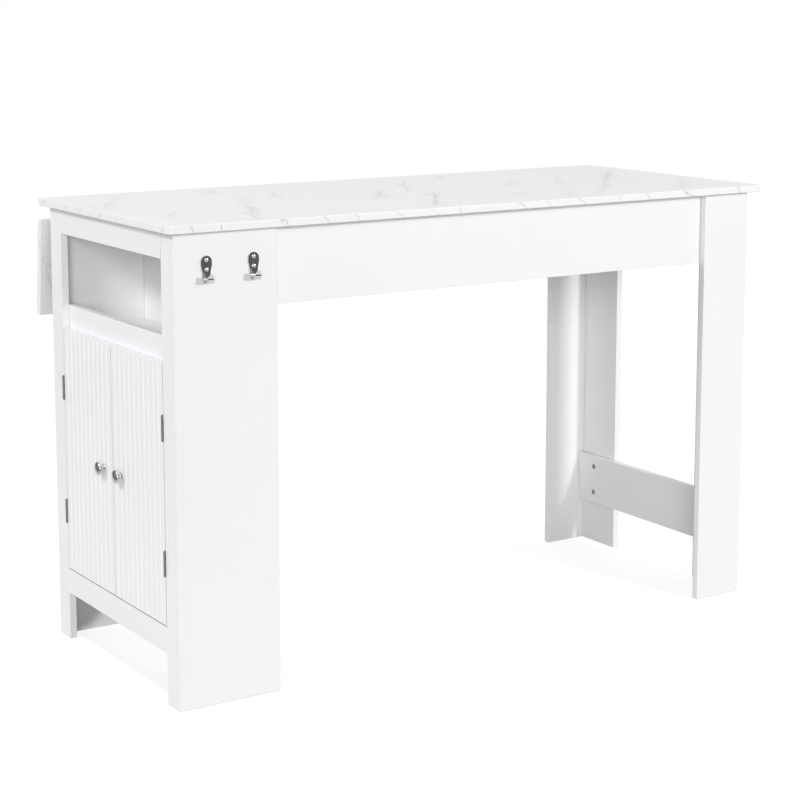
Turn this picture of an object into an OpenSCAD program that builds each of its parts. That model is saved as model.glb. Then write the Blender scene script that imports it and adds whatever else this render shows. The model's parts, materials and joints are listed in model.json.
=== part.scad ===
// Counter-height drop leaf dining table with a storage cabinet under one end.
// Millimetres, +Z up, +X from the cabinet end to the leg end, +Y towards the drop leaf.
// The origin is on the floor, at the middle of the table's own box with the leaf hanging.

/* [Table top] */
// Length of the table top and of the drop leaf
top_len = 1430; // [1250:5:1800]
// Depth of the table top without the leaf
top_depth = 600; // [540:5:760]
// Thickness of the table top and of the drop leaf
top_t = 15; // [13:1:25]
// Height of the table top above the floor
table_h = 915; // [860:5:1000]
// Plan corner radius of the table top
top_corner_r = 8; // [3:1:30]
// Plan corner radius of the leaf
leaf_corner_r = 3; // [3:1:30]
// Radius of the soft-formed edges of the table top and of the leaf
top_edge_r = 2; // [1:0.5:4]
// Overhang of the top past the cabinet end
over_cab = 18; // [10:1:60]
// Overhang of the top past the leg end
over_leg = 21; // [10:1:60]
// Overhang of the top past the front panel and past the back panel
over_side = 22; // [16:1:40]

/* [Boards] */
// Thickness of every painted board
board_t = 15; // [14:1:20]
// Width of the small chamfer that eases a board's edges
board_ease = 0.4; // [0.2:0.1:1.5]
// Small set-back that keeps a board's edge off a moving neighbour
set_back = 1; // [0.5:0.1:2]

/* [Cabinet] */
// Width of the front panel and of the back panel
panel_w = 200; // [180:5:320]
// Width of each stile of the end face
stile_w = 50; // [40:1:70]
// Height of the rail over the niche
top_rail_h = 52; // [40:1:70]
// Open joint between the front end of that rail and the front stile
rail_joint = 1.6; // [0:0.2:2]
// Height of the niche mouth, from the lip to the top rail
niche_mouth_h = 147; // [110:1:180]
// Height of the lip rail that stands on the niche floor
lip_h = 50; // [40:1:70]
// Height of the rail under the doors
bottom_rail_h = 51; // [40:1:70]
// Clear height under the bottom rail
base_clear = 99; // [60:1:130]
// Height of the inner shelf's top over the cabinet floor
shelf_z = 232; // [190:1:280]
// Set-back of the inner shelf from the doors
shelf_set_back = 22; // [10:1:40]
// Diameter of a shelf pin
shelf_pin_d = 5; // [4:0.5:7]
// Distance of the shelf pins from the shelf's front and back edges
shelf_pin_inset = 28; // [20:1:45]

/* [Doors] */
// Gap round each door
door_gap = 2.4; // [1.8:0.2:3]
// How far a door's top edge stands over the niche floor
door_rise = 2; // [0:0.5:5]
// Distance between the grooves of the beadboard
groove_pitch = 21; // [16:1:40]
// Number of grooves in each door
groove_n = 10; // [3:1:11]
// Width of a groove at the door's face
groove_w = 5; // [2:0.5:7]
// Depth of a groove
groove_deep = 2; // [1:0.5:4]

/* [Door knobs] */
// Distance of a knob from the meeting edge of its door
knob_inset = 39; // [25:1:60]
// Diameter of the knob's cap
knob_cap_d = 27; // [20:1:36]
// Thickness of the knob's cap at its middle
knob_cap_t = 4.5; // [4:0.5:10]
// Diameter of the knob's foot
knob_foot_d = 14; // [11:0.5:18]
// Thickness of the knob's foot
knob_foot_t = 3; // [2:0.5:4]
// Diameter of the knob's neck
knob_neck_d = 7; // [7:0.5:10]
// Projection of the knob from the door
knob_proj = 18; // [17:0.5:30]
// Diameter of the knob's screw
knob_screw_d = 4; // [3:0.5:5]
// Length of the screw thread inside the knob
knob_thread_l = 9; // [6:0.5:11]

/* [Door hinges] */
// Height of a hinge
hinge_h = 48; // [40:1:60]
// Distance of a hinge's middle from the nearer end of its door
hinge_inset = 121; // [70:1:150]
// Radius of a hinge barrel
barrel_r = 2; // [2:0.1:4]
// Number of knuckles in a hinge
knuckle_n = 5; // [3:2:9]
// Thickness of a hinge leaf
hinge_leaf_t = 1.2; // [1:0.1:1.5]
// Width of a hinge leaf behind the face
hinge_leaf_w = 12; // [10:0.5:13]
// Diameter of a hinge pin
hinge_pin_d = 1.8; // [1.6:0.1:2.4]

/* [Door catch] */
// Width of the magnetic catch across both doors
catch_w = 46; // [40:1:60]
// Height of the magnetic catch
catch_h = 14; // [12:1:18]
// Depth of the magnetic catch
catch_d = 16; // [14:1:24]
// Diameter of a catch magnet
magnet_d = 8; // [6:0.5:10]
// Thickness of a strike plate
strike_t = 1; // [0.8:0.1:1.5]
// Distance of each magnet from the meeting line
magnet_off = 12; // [9:0.5:14]

/* [Legs] */
// Width of each plank of the L-shaped legs
leg_w = 120; // [100:5:160]
// Height of the stretcher's lower edge above the floor
stretcher_z = 101; // [60:1:180]
// Height of the stretcher board
stretcher_h = 115; // [90:1:150]
// Distance of the stretcher bolts from the stretcher's long edges
bolt_inset = 26; // [18:1:35]
// Diameter of a stretcher bolt
bolt_d = 6; // [5:0.5:8]
// Diameter of a stretcher bolt's head
bolt_head_d = 12; // [10:0.5:14]
// Height of a stretcher bolt's head
bolt_head_h = 3; // [2:0.5:4]

/* [Aprons] */
// Height of the aprons and of the right end rail
apron_h = 150; // [146:1:200]

/* [Coat hooks] */
// Distance of the first hook from the front panel's cabinet-end edge
hook_edge = 52; // [30:1:60]
// Distance between the hooks
hook_pitch = 98; // [60:1:110]
// Distance of a hook plate's top from the underside of the table top
hook_drop = 45; // [20:1:120]
// Height of a hook's plate
hook_plate_h = 35; // [32:1:50]
// Width of a hook's plate at its top
hook_plate_w = 22; // [18:1:28]
// Width of a hook's strip at its bend
hook_strip_w = 16; // [12:1:17]
// Width of a hook's finger at its tip
hook_tip_w = 9; // [6:0.5:11]
// Thickness of a hook's metal
hook_t = 2; // [1.5:0.1:3]
// Reach of a hook's tip from the panel
hook_reach = 22; // [18:1:35]
// How far a hook's finger leans out over its height
hook_flare = 3; // [0:0.5:5]
// Depth of a hook's cup, from its tip down to its lowest point
hook_cup = 17; // [14:1:22]
// Distance between the two screws of a hook
hook_screw_pitch = 18; // [14:1:22]
// Head diameter of a hook's screws
hook_head_d = 8; // [6:0.5:9]

/* [Leaf and its folding brackets] */
// Width of the drop leaf
leaf_w = 200; // [180:5:210]
// Gap between the raised leaf and the table top
leaf_gap = 1; // [0.5:0.5:3]
// Angle by which the hanging leaf leans out
leaf_lean = 5; // [3:0.5:8]
// Number of brackets
bracket_n = 3; // [2:1:4]
// Distance between brackets
bracket_pitch = 330; // [200:10:340]
// Distance of the pivot below the leaf's underside
pivot_drop = 7; // [6.5:0.5:9]
// Distance of the pivot from the back apron's outer face
pivot_out = 15; // [14:0.5:18]
// Thickness of the brackets' sheet metal
sheet_t = 2; // [1.5:0.1:2.5]
// Outside width of a wall arm
wall_arm_w = 26; // [25:0.5:34]
// Length of a wall arm
wall_arm_l = 142; // [142:1:145]
// Length of a leaf arm from its pivot
leaf_arm_l = 165; // [155:1:180]
// Depth of a leaf arm
leaf_arm_d = 12; // [10:0.5:13]
// Running clearance between the moving parts of a bracket, on each side
arm_gap = 1; // [0.5:0.1:1.5]
// Distance of the strut's upper pin from the pivot
strut_q = 50; // [46:0.5:52]
// Length of the strut between its pins
strut_b = 80; // [78:0.5:82]
// Width of the strut
strut_w = 12; // [10:0.5:14]
// Diameter of the bracket's pins
arm_pin_d = 5; // [4:0.5:6]

/* [Fasteners and clearances] */
// Diameter of a wood dowel
dowel_d = 8; // [6:1:9]
// Length of a wood dowel
dowel_l = 28; // [24:1:34]
// Depth of a dowel in the face of a board
dowel_face = 9; // [7:0.5:11]
// Radial clearance of dowels, screws, bolts and cams in their holes
hole_gap = 0.1; // [0.05:0.05:0.3]
// Radial running clearance of a hinge pin or a bracket pin
pin_gap = 0.06; // [0.02:0.01:0.1]
// Diameter of a cam lock
cam_d = 15; // [13:0.5:16]
// Depth of a cam lock in its board
cam_deep = 12; // [10:0.5:12.5]
// Distance of a cam lock's centre from the joint
cam_off = 24; // [20:1:34]
// Diameter of a cam bolt
cam_bolt_d = 6; // [5:0.5:7]
// Depth of a cam bolt in the mating board
cam_bolt_face = 10; // [7:0.5:11]
// Leg length of a top-fixing bracket
clip_leg = 20; // [16:1:26]
// Width of a top-fixing bracket
clip_w = 18; // [14:1:26]
// Thickness of a top-fixing bracket
clip_t = 1.6; // [1.2:0.1:2.5]
// Shank diameter of the small wood screws
screw_d = 3; // [2.5:0.1:3.5]
// Head diameter of the small wood screws
screw_head_d = 6.5; // [5.5:0.1:7]
// Head height of the small wood screws
screw_head_h = 2; // [1.5:0.1:2.4]
// Length of the small wood screws in the wood
screw_l = 10; // [8:0.5:11]

/* [Hidden] */
$fn = 48;

// Colours as the photo shows them
paint = [0.94, 0.94, 0.93];
marble = [0.9, 0.91, 0.92];
nickel = [0.72, 0.72, 0.71];
dark_steel = [0.35, 0.35, 0.36];
zinc = [0.62, 0.63, 0.65];
beech = [0.8, 0.66, 0.47];
white_plastic = [0.86, 0.86, 0.85];

// Heights
under_top = table_h - top_t;
rail_z = under_top - top_rail_h;
lip_top = rail_z - niche_mouth_h;
niche_z = lip_top - lip_h;
floor_z = base_clear + bottom_rail_h;
door_z0 = floor_z + door_gap;
door_z1 = niche_z + door_rise;
door_mid_z = (door_z0 + door_z1) / 2;
apron_z = under_top - apron_h;
apron_mid_z = under_top - apron_h / 2;
shelf_top = floor_z + shelf_z;

// The leaf swings about an axis in line with the back panel's outer face plus its pivot offset
swing = 90 - leaf_lean;
leaf_r0 = over_side + leaf_gap + board_t - pivot_out;
leaf_r1 = leaf_r0 + leaf_w;
leaf_h1 = pivot_drop + top_t;
leaf_reach = (leaf_r1 - top_edge_r) * cos(swing) + (leaf_h1 - top_edge_r) * sin(swing) + top_edge_r;

// Places along X and Y; the front edge of the top and the hanging leaf bound the box
xl = -top_len / 2 + over_cab;
xr = top_len / 2 - over_leg;
body_depth = top_depth - 2 * over_side;
box_depth = over_side + body_depth + pivot_out - board_t + leaf_reach;
yf = -box_depth / 2 + over_side;
yb = yf + body_depth;
ym = (yf + yb) / 2;
half_in = body_depth / 2 - board_t;
panel_x0 = xl + board_t;
panel_x1 = panel_x0 + panel_w;
divider_x0 = panel_x1 - board_t;
leg_x0 = xr - leg_w;
end_x = xr - board_t;
rail_half = body_depth / 2 - stile_w;
pivot_y = yb - board_t + pivot_out;
pivot_z = under_top - pivot_drop;
bracket_x0 = (panel_x1 + leg_x0) / 2 - bracket_pitch * (bracket_n - 1) / 2;
bracket_xs = [for (i = [0 : bracket_n - 1]) bracket_x0 + i * bracket_pitch];
tiny = 0.01;

// A board with chamfered edges, its low corner at p and its size s
module board(p, s) {
    translate(p) intersection() {
        linear_extrude(s[2]) eased_rect(s[0], s[1]);
        translate([0, s[1], 0]) rotate([90, 0, 0]) linear_extrude(s[1]) eased_rect(s[0], s[2]);
        rotate([90, 0, 90]) linear_extrude(s[0]) eased_rect(s[1], s[2]);
    }
}

// A rectangle with chamfered corners
module eased_rect(a, b) {
    e = board_ease;
    polygon([[e, 0], [a - e, 0], [a, e], [a, b - e], [a - e, b], [e, b], [0, b - e], [0, e]]);
}

// A slab with round plan corners and soft-formed edges, its low corner at the origin
edge_land = 0.5;
module slab(len, depth, corner_r) {
    r = max(corner_r, top_edge_r + edge_land);
    for (x = [r, len - r]) for (y = [r, depth - r]) translate([x, y, 0])
        rotate_extrude() slab_half_profile(r);
    translate([r, r, 0]) cube([len - 2 * r, depth - 2 * r, top_t]);
    for (side = [0, 1]) {
        translate([r, r + side * (depth - 2 * r), 0])
            rotate([90, 0, 90]) linear_extrude(len - 2 * r) mirror([1 - side, 0])
                slab_half_profile(r);
        translate([r + side * (len - 2 * r), depth - r, 0])
            rotate([90, 0, 0]) linear_extrude(depth - 2 * r) mirror([1 - side, 0])
                slab_half_profile(r);
    }
}

// Half of a slab's section: w wide, with its outer corners rounded
module slab_half_profile(w) {
    e = top_edge_r;
    square([w - e, top_t]);
    translate([0, e]) square([w, top_t - 2 * e]);
    for (z = [e, top_t - e]) translate([w - e, z]) circle(e);
}

// A round bar of diameter d from p, l long, along the unit direction v
module bar(p, v, d, l) {
    translate(p)
        rotate(v[0] != 0 ? [0, 90 * v[0], 0] : v[1] != 0 ? [-90 * v[1], 0, 0] : [v[2] > 0 ? 0 : 180, 0, 0])
            cylinder(d = d, h = l);
}

// A pan-head wood screw whose head sits on p, pointing along v
module wood_screw(p, v, l = screw_l, d = screw_d, head_d = screw_head_d, head_h = screw_head_h) {
    bar(p, v, d, l);
    difference() {
        bar(p, -v, head_d, head_h);
        bar(p - v * head_h * 0.45, -v, head_d * 0.3, head_h);
    }
}

// The pilot hole of a wood screw
module screw_hole(p, v, l = screw_l, d = screw_d) {
    bar(p - v * tiny, v, d + 2 * hole_gap, l + hole_gap + tiny);
}

// Dowels from the joint plane: dowel_face into the board behind p, the rest along v
module dowels(list, v, gap = 0) {
    for (p = list)
        bar(p - v * (dowel_face + gap), v, dowel_d + 2 * gap, dowel_l + 2 * gap);
}

// Distances of the dowels, cams and clips from the ends and edges of their joints
stile_peg_rise = 70;
stile_peg_drop = 80;
divider_peg_rise = 30;
divider_peg_low = 70;
divider_peg_drop = 60;
apron_peg_end = 30;
rail_peg_half = 20;
leg_peg_rise = 90;
leg_peg_drop = 40;
floor_peg_end = 40;
floor_peg_side = 90;
divider_cam_rise = 80;
divider_cam_drop = 90;
rail_cam_rise = 12;
clip_left = 90;
clip_right = 130;
clip_half = 130;

// Places of the dowels, each list with its own direction
zs_tall = [floor_z + stile_peg_rise, door_mid_z, under_top - stile_peg_drop];
stile_pegs = [for (y = [yf + board_t / 2, yb - board_t / 2]) for (z = zs_tall) [panel_x0, y, z]];
divider_zs = [floor_z + divider_peg_rise, door_mid_z - divider_peg_low,
    under_top - divider_peg_drop];
function divider_pegs(s) = [for (z = divider_zs) [divider_x0 + board_t / 2, ym + s * half_in, z]];
apron_zs = [under_top - apron_peg_end, apron_z + apron_peg_end];
function apron_y(s) = ym + s * (half_in - board_t / 2);
apron_left_pegs = [for (s = [-1, 1]) for (z = apron_zs) [panel_x1, apron_y(s), z]];
apron_right_pegs = [for (s = [-1, 1]) for (z = apron_zs) [end_x, apron_y(s), z]];
rail_peg_x = end_x - board_t / 2;
function end_rail_pegs(s) = [for (dz = [-rail_peg_half, rail_peg_half])
    [rail_peg_x, ym + s * (half_in - board_t), apron_mid_z + dz]];
leg_zs = [leg_peg_rise, (stretcher_z + stretcher_h + apron_z) / 2, apron_z - leg_peg_drop];
function leg_pegs(s) = [for (z = leg_zs) [xr - board_t / 2, ym + s * half_in, z]];
floor_xs = [panel_x0 + floor_peg_end, divider_x0 - floor_peg_end];
function floor_pegs(s, top) = [for (x = floor_xs) [x, ym + s * half_in, top - board_t / 2]];
function floor_end_pegs(top) = [for (s = [-1, 1])
    [divider_x0, ym + s * (half_in - floor_peg_side), top - board_t / 2]];
function face_rail_pegs(s, z, h) = [for (dz = [-h / 4, h / 4])
    [xl + board_t / 2, ym + s * rail_half, z + h / 2 + dz]];
function lip_pegs(s) = [[panel_x0 + board_t / 2, ym + s * half_in, niche_z + lip_h / 2]];

// Every dowel hole that reaches the board with this name
module dowel_set(name, gap) {
    x = [1, 0, 0];
    y = [0, 1, 0];
    if (name == "stiles") dowels(stile_pegs, x, gap);
    if (name == "divider") for (s = [-1, 1]) dowels(divider_pegs(s), -s * y, gap);
    if (name == "apron_left") dowels(apron_left_pegs, x, gap);
    if (name == "apron_right") dowels(apron_right_pegs, -x, gap);
    if (name == "end_rail") for (s = [-1, 1]) dowels(end_rail_pegs(s), -s * y, gap);
    if (name == "legs") for (s = [-1, 1]) dowels(leg_pegs(s), -s * y, gap);
    if (name == "niche_floor") for (s = [-1, 1]) dowels(floor_pegs(s, niche_z), -s * y, gap);
    if (name == "cabinet_floor") for (s = [-1, 1]) dowels(floor_pegs(s, floor_z), -s * y, gap);
    if (name == "niche_floor_end") dowels(floor_end_pegs(niche_z), -x, gap);
    if (name == "cabinet_floor_end") dowels(floor_end_pegs(floor_z), -x, gap);
    if (name == "top_rail") for (s = [-1, 1]) dowels(face_rail_pegs(s, rail_z, top_rail_h), -s * y, gap);
    if (name == "bottom_rail")
        for (s = [-1, 1]) dowels(face_rail_pegs(s, base_clear, bottom_rail_h), -s * y, gap);
    if (name == "lip") for (s = [-1, 1]) dowels(lip_pegs(s), -s * y, gap);
}
dowel_sets = ["stiles", "divider", "apron_left", "apron_right", "end_rail", "legs", "niche_floor",
    "cabinet_floor", "niche_floor_end", "cabinet_floor_end", "top_rail", "bottom_rail", "lip"];

// A cam joint is [joint point, direction into the cam's board, direction out of the cam's mouth]
cam_z = apron_mid_z;
function apron_cams(s) = [
    [[panel_x1, apron_y(s), cam_z], [1, 0, 0], [0, -s, 0]],
    [[end_x, apron_y(s), cam_z], [-1, 0, 0], [0, -s, 0]]];
function end_rail_cams(s) = [[[rail_peg_x, ym + s * (half_in - board_t), apron_z + rail_cam_rise + cam_d / 2],
    [0, -s, 0], [-1, 0, 0]]];
function divider_cams(s) = [for (z = [floor_z + divider_cam_rise, niche_z - divider_cam_drop])
    [[divider_x0 + board_t / 2, ym + s * half_in, z], [0, -s, 0], [-1, 0, 0]]];
floor_cam_x = (panel_x0 + divider_x0) / 2;
function floor_cams(s, top) = [[[floor_cam_x, ym + s * half_in, top - board_t / 2],
    [0, -s, 0], [0, 0, -1]]];

// The cams with their bolts, or the holes for both
module cam_discs(list, gap = 0) {
    for (c = list) {
        centre = c[0] + c[1] * cam_off + c[2] * (board_t / 2);
        bar(centre - c[2] * cam_deep, c[2], cam_d + 2 * gap, cam_deep + (gap > 0 ? tiny : 0));
    }
}
module cam_shafts(list, gap = 0, reach = cam_off) {
    for (c = list)
        bar(c[0] - c[1] * (cam_bolt_face + gap), c[1], cam_bolt_d + 2 * gap, cam_bolt_face + reach + gap);
}
module cam_holes(list) {
    cam_discs(list, hole_gap);
    cam_shafts(list, hole_gap);
}
all_cams = [for (s = [-1, 1]) each concat(apron_cams(s), end_rail_cams(s), divider_cams(s),
    floor_cams(s, niche_z), floor_cams(s, floor_z))];

// Top clips are [inner corner under the top, direction away from the rail that it is screwed to]
clip_xs = [panel_x1 + clip_left, (panel_x1 + end_x) / 2, end_x - clip_right];
clips_front = [for (x = clip_xs) [[x, ym - half_in + board_t, under_top], [0, 1, 0]]];
clips_back = [for (x = clip_xs) [[x, ym + half_in - board_t, under_top], [0, -1, 0]]];
clips_end = [[[end_x - board_t, ym, under_top], [-1, 0, 0]]];
clips_divider = [for (s = [-1, 1]) [[panel_x1, ym + s * clip_half, under_top], [1, 0, 0]]];
all_clips = concat(clips_front, clips_back, clips_end, clips_divider);
module clip_screws_up(gap) {
    for (c = all_clips) {
        p = c[0] + c[1] * (clip_leg * 0.6);
        if (gap) screw_hole(p, [0, 0, 1]);
        else wood_screw(p - [0, 0, clip_t], [0, 0, 1]);
    }
}
module clip_screws_side(list, gap) {
    for (c = list) {
        p = c[0] - [0, 0, clip_leg * 0.6];
        if (gap) screw_hole(p, -c[1]);
        else wood_screw(p + c[1] * clip_t, -c[1]);
    }
}

// Table top
module table_top() color(marble) difference() {
    translate([-top_len / 2, yf - over_side, under_top]) slab(top_len, top_depth, top_corner_r);
    clip_screws_up(true);
}

// Everything that turns with the leaf is drawn raised and then hung
module hung() {
    translate([0, pivot_y, pivot_z]) rotate([-swing, 0, 0]) children();
}

module drop_leaf() color(marble) hung() difference() {
    translate([-top_len / 2, leaf_r0, pivot_drop]) slab(top_len, leaf_w, leaf_corner_r);
    for (x = bracket_xs) for (r = leaf_screw_rs) screw_hole([x, r, pivot_drop], [0, 0, 1]);
}

// Cabinet boards
module left_front_panel() color(paint) difference() {
    board([panel_x0, yf, 0], [panel_w, board_t, under_top]);
    panel_holes(-1);
    for (h = hook_places) for (dz = [0, -hook_screw_pitch])
        screw_hole([h, yf, hook_screw_z + dz], [0, 1, 0]);
}
module left_back_panel() color(paint) difference() {
    board([panel_x0, yb - board_t, 0], [panel_w, board_t, under_top]);
    panel_holes(1);
}
module panel_holes(s) {
    for (name = ["stiles", "divider", "niche_floor", "cabinet_floor", "lip"]) dowel_set(name, hole_gap);
    cam_holes(concat(divider_cams(s), floor_cams(s, niche_z), floor_cams(s, floor_z)));
    for (x = shelf_pin_xs)
        bar([x, ym + s * (half_in - tiny), shelf_pin_z], [0, s, 0], shelf_pin_d + 2 * hole_gap,
            shelf_pin_in + hole_gap);
}

module front_stile() color(paint) stile(-1);
module back_stile() color(paint) stile(1);
module stile(s) difference() {
    board([xl, s < 0 ? yf : yb - stile_w, 0], [board_t, stile_w, under_top]);
    for (name = ["stiles", "top_rail", "bottom_rail"]) dowel_set(name, hole_gap);
    for (z = hinge_zs) frame_mortise(s, z);
}

module top_rail() color(paint) difference() {
    board([xl, ym - rail_half + rail_joint, rail_z], [board_t, 2 * rail_half - rail_joint, top_rail_h]);
    dowel_set("top_rail", hole_gap);
}
module bottom_rail() color(paint) difference() {
    board([xl, ym - rail_half, base_clear], [board_t, 2 * rail_half, bottom_rail_h]);
    dowel_set("bottom_rail", hole_gap);
}
module niche_lip() color(paint) difference() {
    board([panel_x0, ym - half_in, niche_z], [board_t, 2 * half_in, lip_h]);
    dowel_set("lip", hole_gap);
}
module cabinet_divider() color(paint) difference() {
    board([divider_x0, ym - half_in, floor_z - board_t],
        [board_t, 2 * half_in, under_top - floor_z + board_t]);
    for (name = ["divider", "apron_left", "niche_floor_end", "cabinet_floor_end"])
        dowel_set(name, hole_gap);
    for (s = [-1, 1]) {
        cam_holes(divider_cams(s));
        cam_shafts([apron_cams(s)[0]], hole_gap);
    }
    clip_screws_side(clips_divider, true);
}
module niche_floor() color(paint) cabinet_board(niche_z) {
    for (name = ["niche_floor", "niche_floor_end"]) dowel_set(name, hole_gap);
    for (y = catch_screw_ys) screw_hole([catch_screw_x, y, niche_z - board_t], [0, 0, 1]);
}
module cabinet_floor() color(paint) cabinet_board(floor_z) {
    for (name = ["cabinet_floor", "cabinet_floor_end"]) dowel_set(name, hole_gap);
}
module cabinet_board(top) difference() {
    board([panel_x0 + set_back, ym - half_in, top - board_t],
        [divider_x0 - panel_x0 - set_back, 2 * half_in, board_t]);
    for (s = [-1, 1]) cam_holes(floor_cams(s, top));
    children();
}

// Inner shelf on four collared pins, clear of the panels at each end
shelf_x0 = panel_x0 + shelf_set_back;
shelf_pin_xs = [shelf_x0 + shelf_pin_inset, divider_x0 - shelf_pin_inset];
shelf_pin_z = shelf_top - board_t - shelf_pin_d / 2;
shelf_pin_in = 8;
shelf_pin_out = 9;
shelf_pin_collar = 1;
shelf_play = 1;
module inner_shelf() color(paint)
    board([shelf_x0, ym - half_in + shelf_play, shelf_top - board_t],
        [divider_x0 - shelf_x0 - shelf_play, 2 * (half_in - shelf_play), board_t]);
module shelf_pins() color(zinc)
    for (s = [-1, 1]) for (x = shelf_pin_xs) {
        bar([x, ym + s * (half_in + shelf_pin_in), shelf_pin_z], [0, -s, 0], shelf_pin_d,
            shelf_pin_in + shelf_pin_out);
        bar([x, ym + s * half_in, shelf_pin_z - shelf_pin_d / 3], [0, -s, 0],
            shelf_pin_d * 1.5, shelf_pin_collar);
    }

// Aprons and the right end rail
module front_apron() color(paint) apron(-1, clips_front);
module back_apron() color(paint) difference() {
    apron(1, clips_back);
    for (x = bracket_xs) for (z = wall_screw_zs)
        screw_hole([x, yb - board_t, pivot_z + z], [0, -1, 0]);
}
module apron(s, clips) difference() {
    board([panel_x1, s < 0 ? yf + board_t : yb - 2 * board_t, apron_z],
        [end_x - panel_x1, board_t, apron_h]);
    for (name = ["apron_left", "apron_right", "end_rail"]) dowel_set(name, hole_gap);
    cam_holes(apron_cams(s));
    cam_shafts(end_rail_cams(s), hole_gap);
    clip_screws_side(clips, true);
}
module right_end_rail() color(paint) difference() {
    board([end_x - board_t, ym - half_in + board_t, apron_z],
        [board_t, 2 * (half_in - board_t), apron_h]);
    dowel_set("end_rail", hole_gap);
    for (s = [-1, 1]) cam_holes(end_rail_cams(s));
    clip_screws_side(clips_end, true);
}

// L-shaped legs: a plate at the front or back and a return on the end
module leg_plate(s) difference() {
    board([leg_x0, s < 0 ? yf : yb - board_t, 0], [leg_w, board_t, under_top]);
    dowel_set("legs", hole_gap);
}
module leg_return(s) difference() {
    board([end_x, s < 0 ? yf + board_t : yb - board_t - leg_w, 0], [board_t, leg_w, under_top]);
    for (name = ["legs", "apron_right"]) dowel_set(name, hole_gap);
    cam_shafts([apron_cams(s)[1]], hole_gap);
    for (z = bolt_zs)
        bar([end_x - tiny, bolt_y(s), z], [1, 0, 0], insert_d + 2 * hole_gap, insert_l + hole_gap + tiny);
}
module front_leg_plate() color(paint) leg_plate(-1);
module back_leg_plate() color(paint) leg_plate(1);
module front_leg_return() color(paint) leg_return(-1);
module back_leg_return() color(paint) leg_return(1);

// Stretcher between the legs, bolted to the middle of each return
insert_wall = 2;
insert_cover = 3;
bolt_end_gap = 1;
insert_d = bolt_d + 2 * insert_wall;
insert_l = board_t - insert_cover;
bolt_zs = [stretcher_z + bolt_inset, stretcher_z + stretcher_h - bolt_inset];
function bolt_y(s) = ym + s * (half_in - leg_w / 2);
module stretcher() color(paint) difference() {
    board([end_x - board_t, ym - half_in, stretcher_z], [board_t, 2 * half_in, stretcher_h]);
    for (s = [-1, 1]) for (z = bolt_zs)
        bar([end_x - board_t - tiny, bolt_y(s), z], [1, 0, 0], bolt_d + 2 * hole_gap,
            board_t + 2 * tiny);
}
module stretcher_bolts() color(dark_steel)
    for (s = [-1, 1]) for (z = bolt_zs) translate([end_x - board_t, bolt_y(s), z])
        rotate([0, 90, 0]) {
            cylinder(d = bolt_d, h = board_t + insert_l - bolt_end_gap);
            translate([0, 0, -bolt_head_h]) difference() {
                bolt_head();
                translate([0, 0, -tiny]) cylinder(d = bolt_d * 0.6, h = bolt_head_h * 0.6, $fn = 6);
            }
        }
// A low domed bolt head on its flange
module bolt_head() {
    intersection() {
        cylinder(d = bolt_head_d, h = bolt_head_h);
        dome_r = (bolt_head_d * bolt_head_d / 4 + bolt_head_h * bolt_head_h) / (2 * bolt_head_h) * 1.15;
        translate([0, 0, dome_r]) sphere(dome_r, $fn = 96);
    }
}
module stretcher_inserts() color(zinc)
    for (s = [-1, 1]) for (z = bolt_zs) difference() {
        bar([end_x, bolt_y(s), z], [1, 0, 0], insert_d, insert_l);
        bar([end_x - tiny, bolt_y(s), z], [1, 0, 0], bolt_d + 2 * hole_gap, insert_l + 2 * tiny);
    }

module wood_dowels() color(beech) for (name = dowel_sets) dowel_set(name, 0);
cam_slot_w = 2;
cam_slot_deep = 2;
cam_end_gap = 1;
module cam_locks() color(zinc) for (c = all_cams) difference() {
    cam_discs([c]);
    cam_shafts([c], hole_gap);
    mouth = c[0] + c[1] * cam_off + c[2] * (board_t / 2);
    slot = [for (i = [0 : 2])
        c[2][i] != 0 ? 2 * cam_slot_deep : c[1][i] != 0 ? cam_d * 0.6 : cam_slot_w];
    translate(mouth - slot / 2) cube(slot);
}
module cam_bolts() color(zinc) cam_shafts(all_cams, 0, cam_off - cam_end_gap);
module top_clips() color(zinc) for (c = all_clips) difference() {
    top_clip(c);
    bar(c[0] + c[1] * (clip_leg * 0.6) - [0, 0, clip_t + tiny], [0, 0, 1],
        screw_d + 2 * hole_gap, clip_t + 2 * tiny);
    bar(c[0] - [0, 0, clip_leg * 0.6] - c[1] * tiny, c[1], screw_d + 2 * hole_gap, clip_t + 2 * tiny);
}
module top_clip(c) translate(c[0]) rotate([0, 0, atan2(c[1][1], c[1][0])]) {
    translate([0, -clip_w / 2, -clip_t]) cube([clip_leg, clip_w, clip_t]);
    translate([0, -clip_w / 2, -clip_leg]) cube([clip_t, clip_w, clip_leg]);
}
module top_clip_screws() color(zinc) {
    clip_screws_up(false);
    clip_screws_side(all_clips, false);
}

// Doors: s is -1 for the front door and 1 for the back door
door_w = rail_half - 1.5 * door_gap;
door_t = board_t;
hinge_zs = [door_z0 + hinge_inset, door_z1 - hinge_inset];
barrel_gap = 0.2;
hinge_x = xl - barrel_r - barrel_gap;
function hinge_y(s) = ym + s * (rail_half - door_gap / 2);
function door_edge_y(s) = ym + s * (rail_half - door_gap);
function knob_y(s) = ym + s * (door_gap / 2 + knob_inset);
module door(s) difference() {
    board([xl, s < 0 ? door_edge_y(s) : ym + door_gap / 2, door_z0],
        [door_t, door_w, door_z1 - door_z0]);
    for (i = [0 : groove_n - 1])
        translate([xl, ym + s * (door_gap / 2 + door_w / 2) + (i - (groove_n - 1) / 2) * groove_pitch,
            door_z0 - tiny]) groove();
    bar([xl - tiny, knob_y(s), door_mid_z], [1, 0, 0], knob_screw_d + 2 * hole_gap, door_t + 2 * tiny);
    for (z = hinge_zs) door_mortise(s, z);
    screw_hole([xl + door_t, strike_y(s), strike_z - strike_screw_dz], [-1, 0, 0]);
}
module groove() linear_extrude(door_z1 - door_z0 + 2 * tiny)
    polygon([[-tiny, -groove_w / 2], [groove_deep, 0], [-tiny, groove_w / 2]]);
module door_front() color(paint) door(-1);
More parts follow.
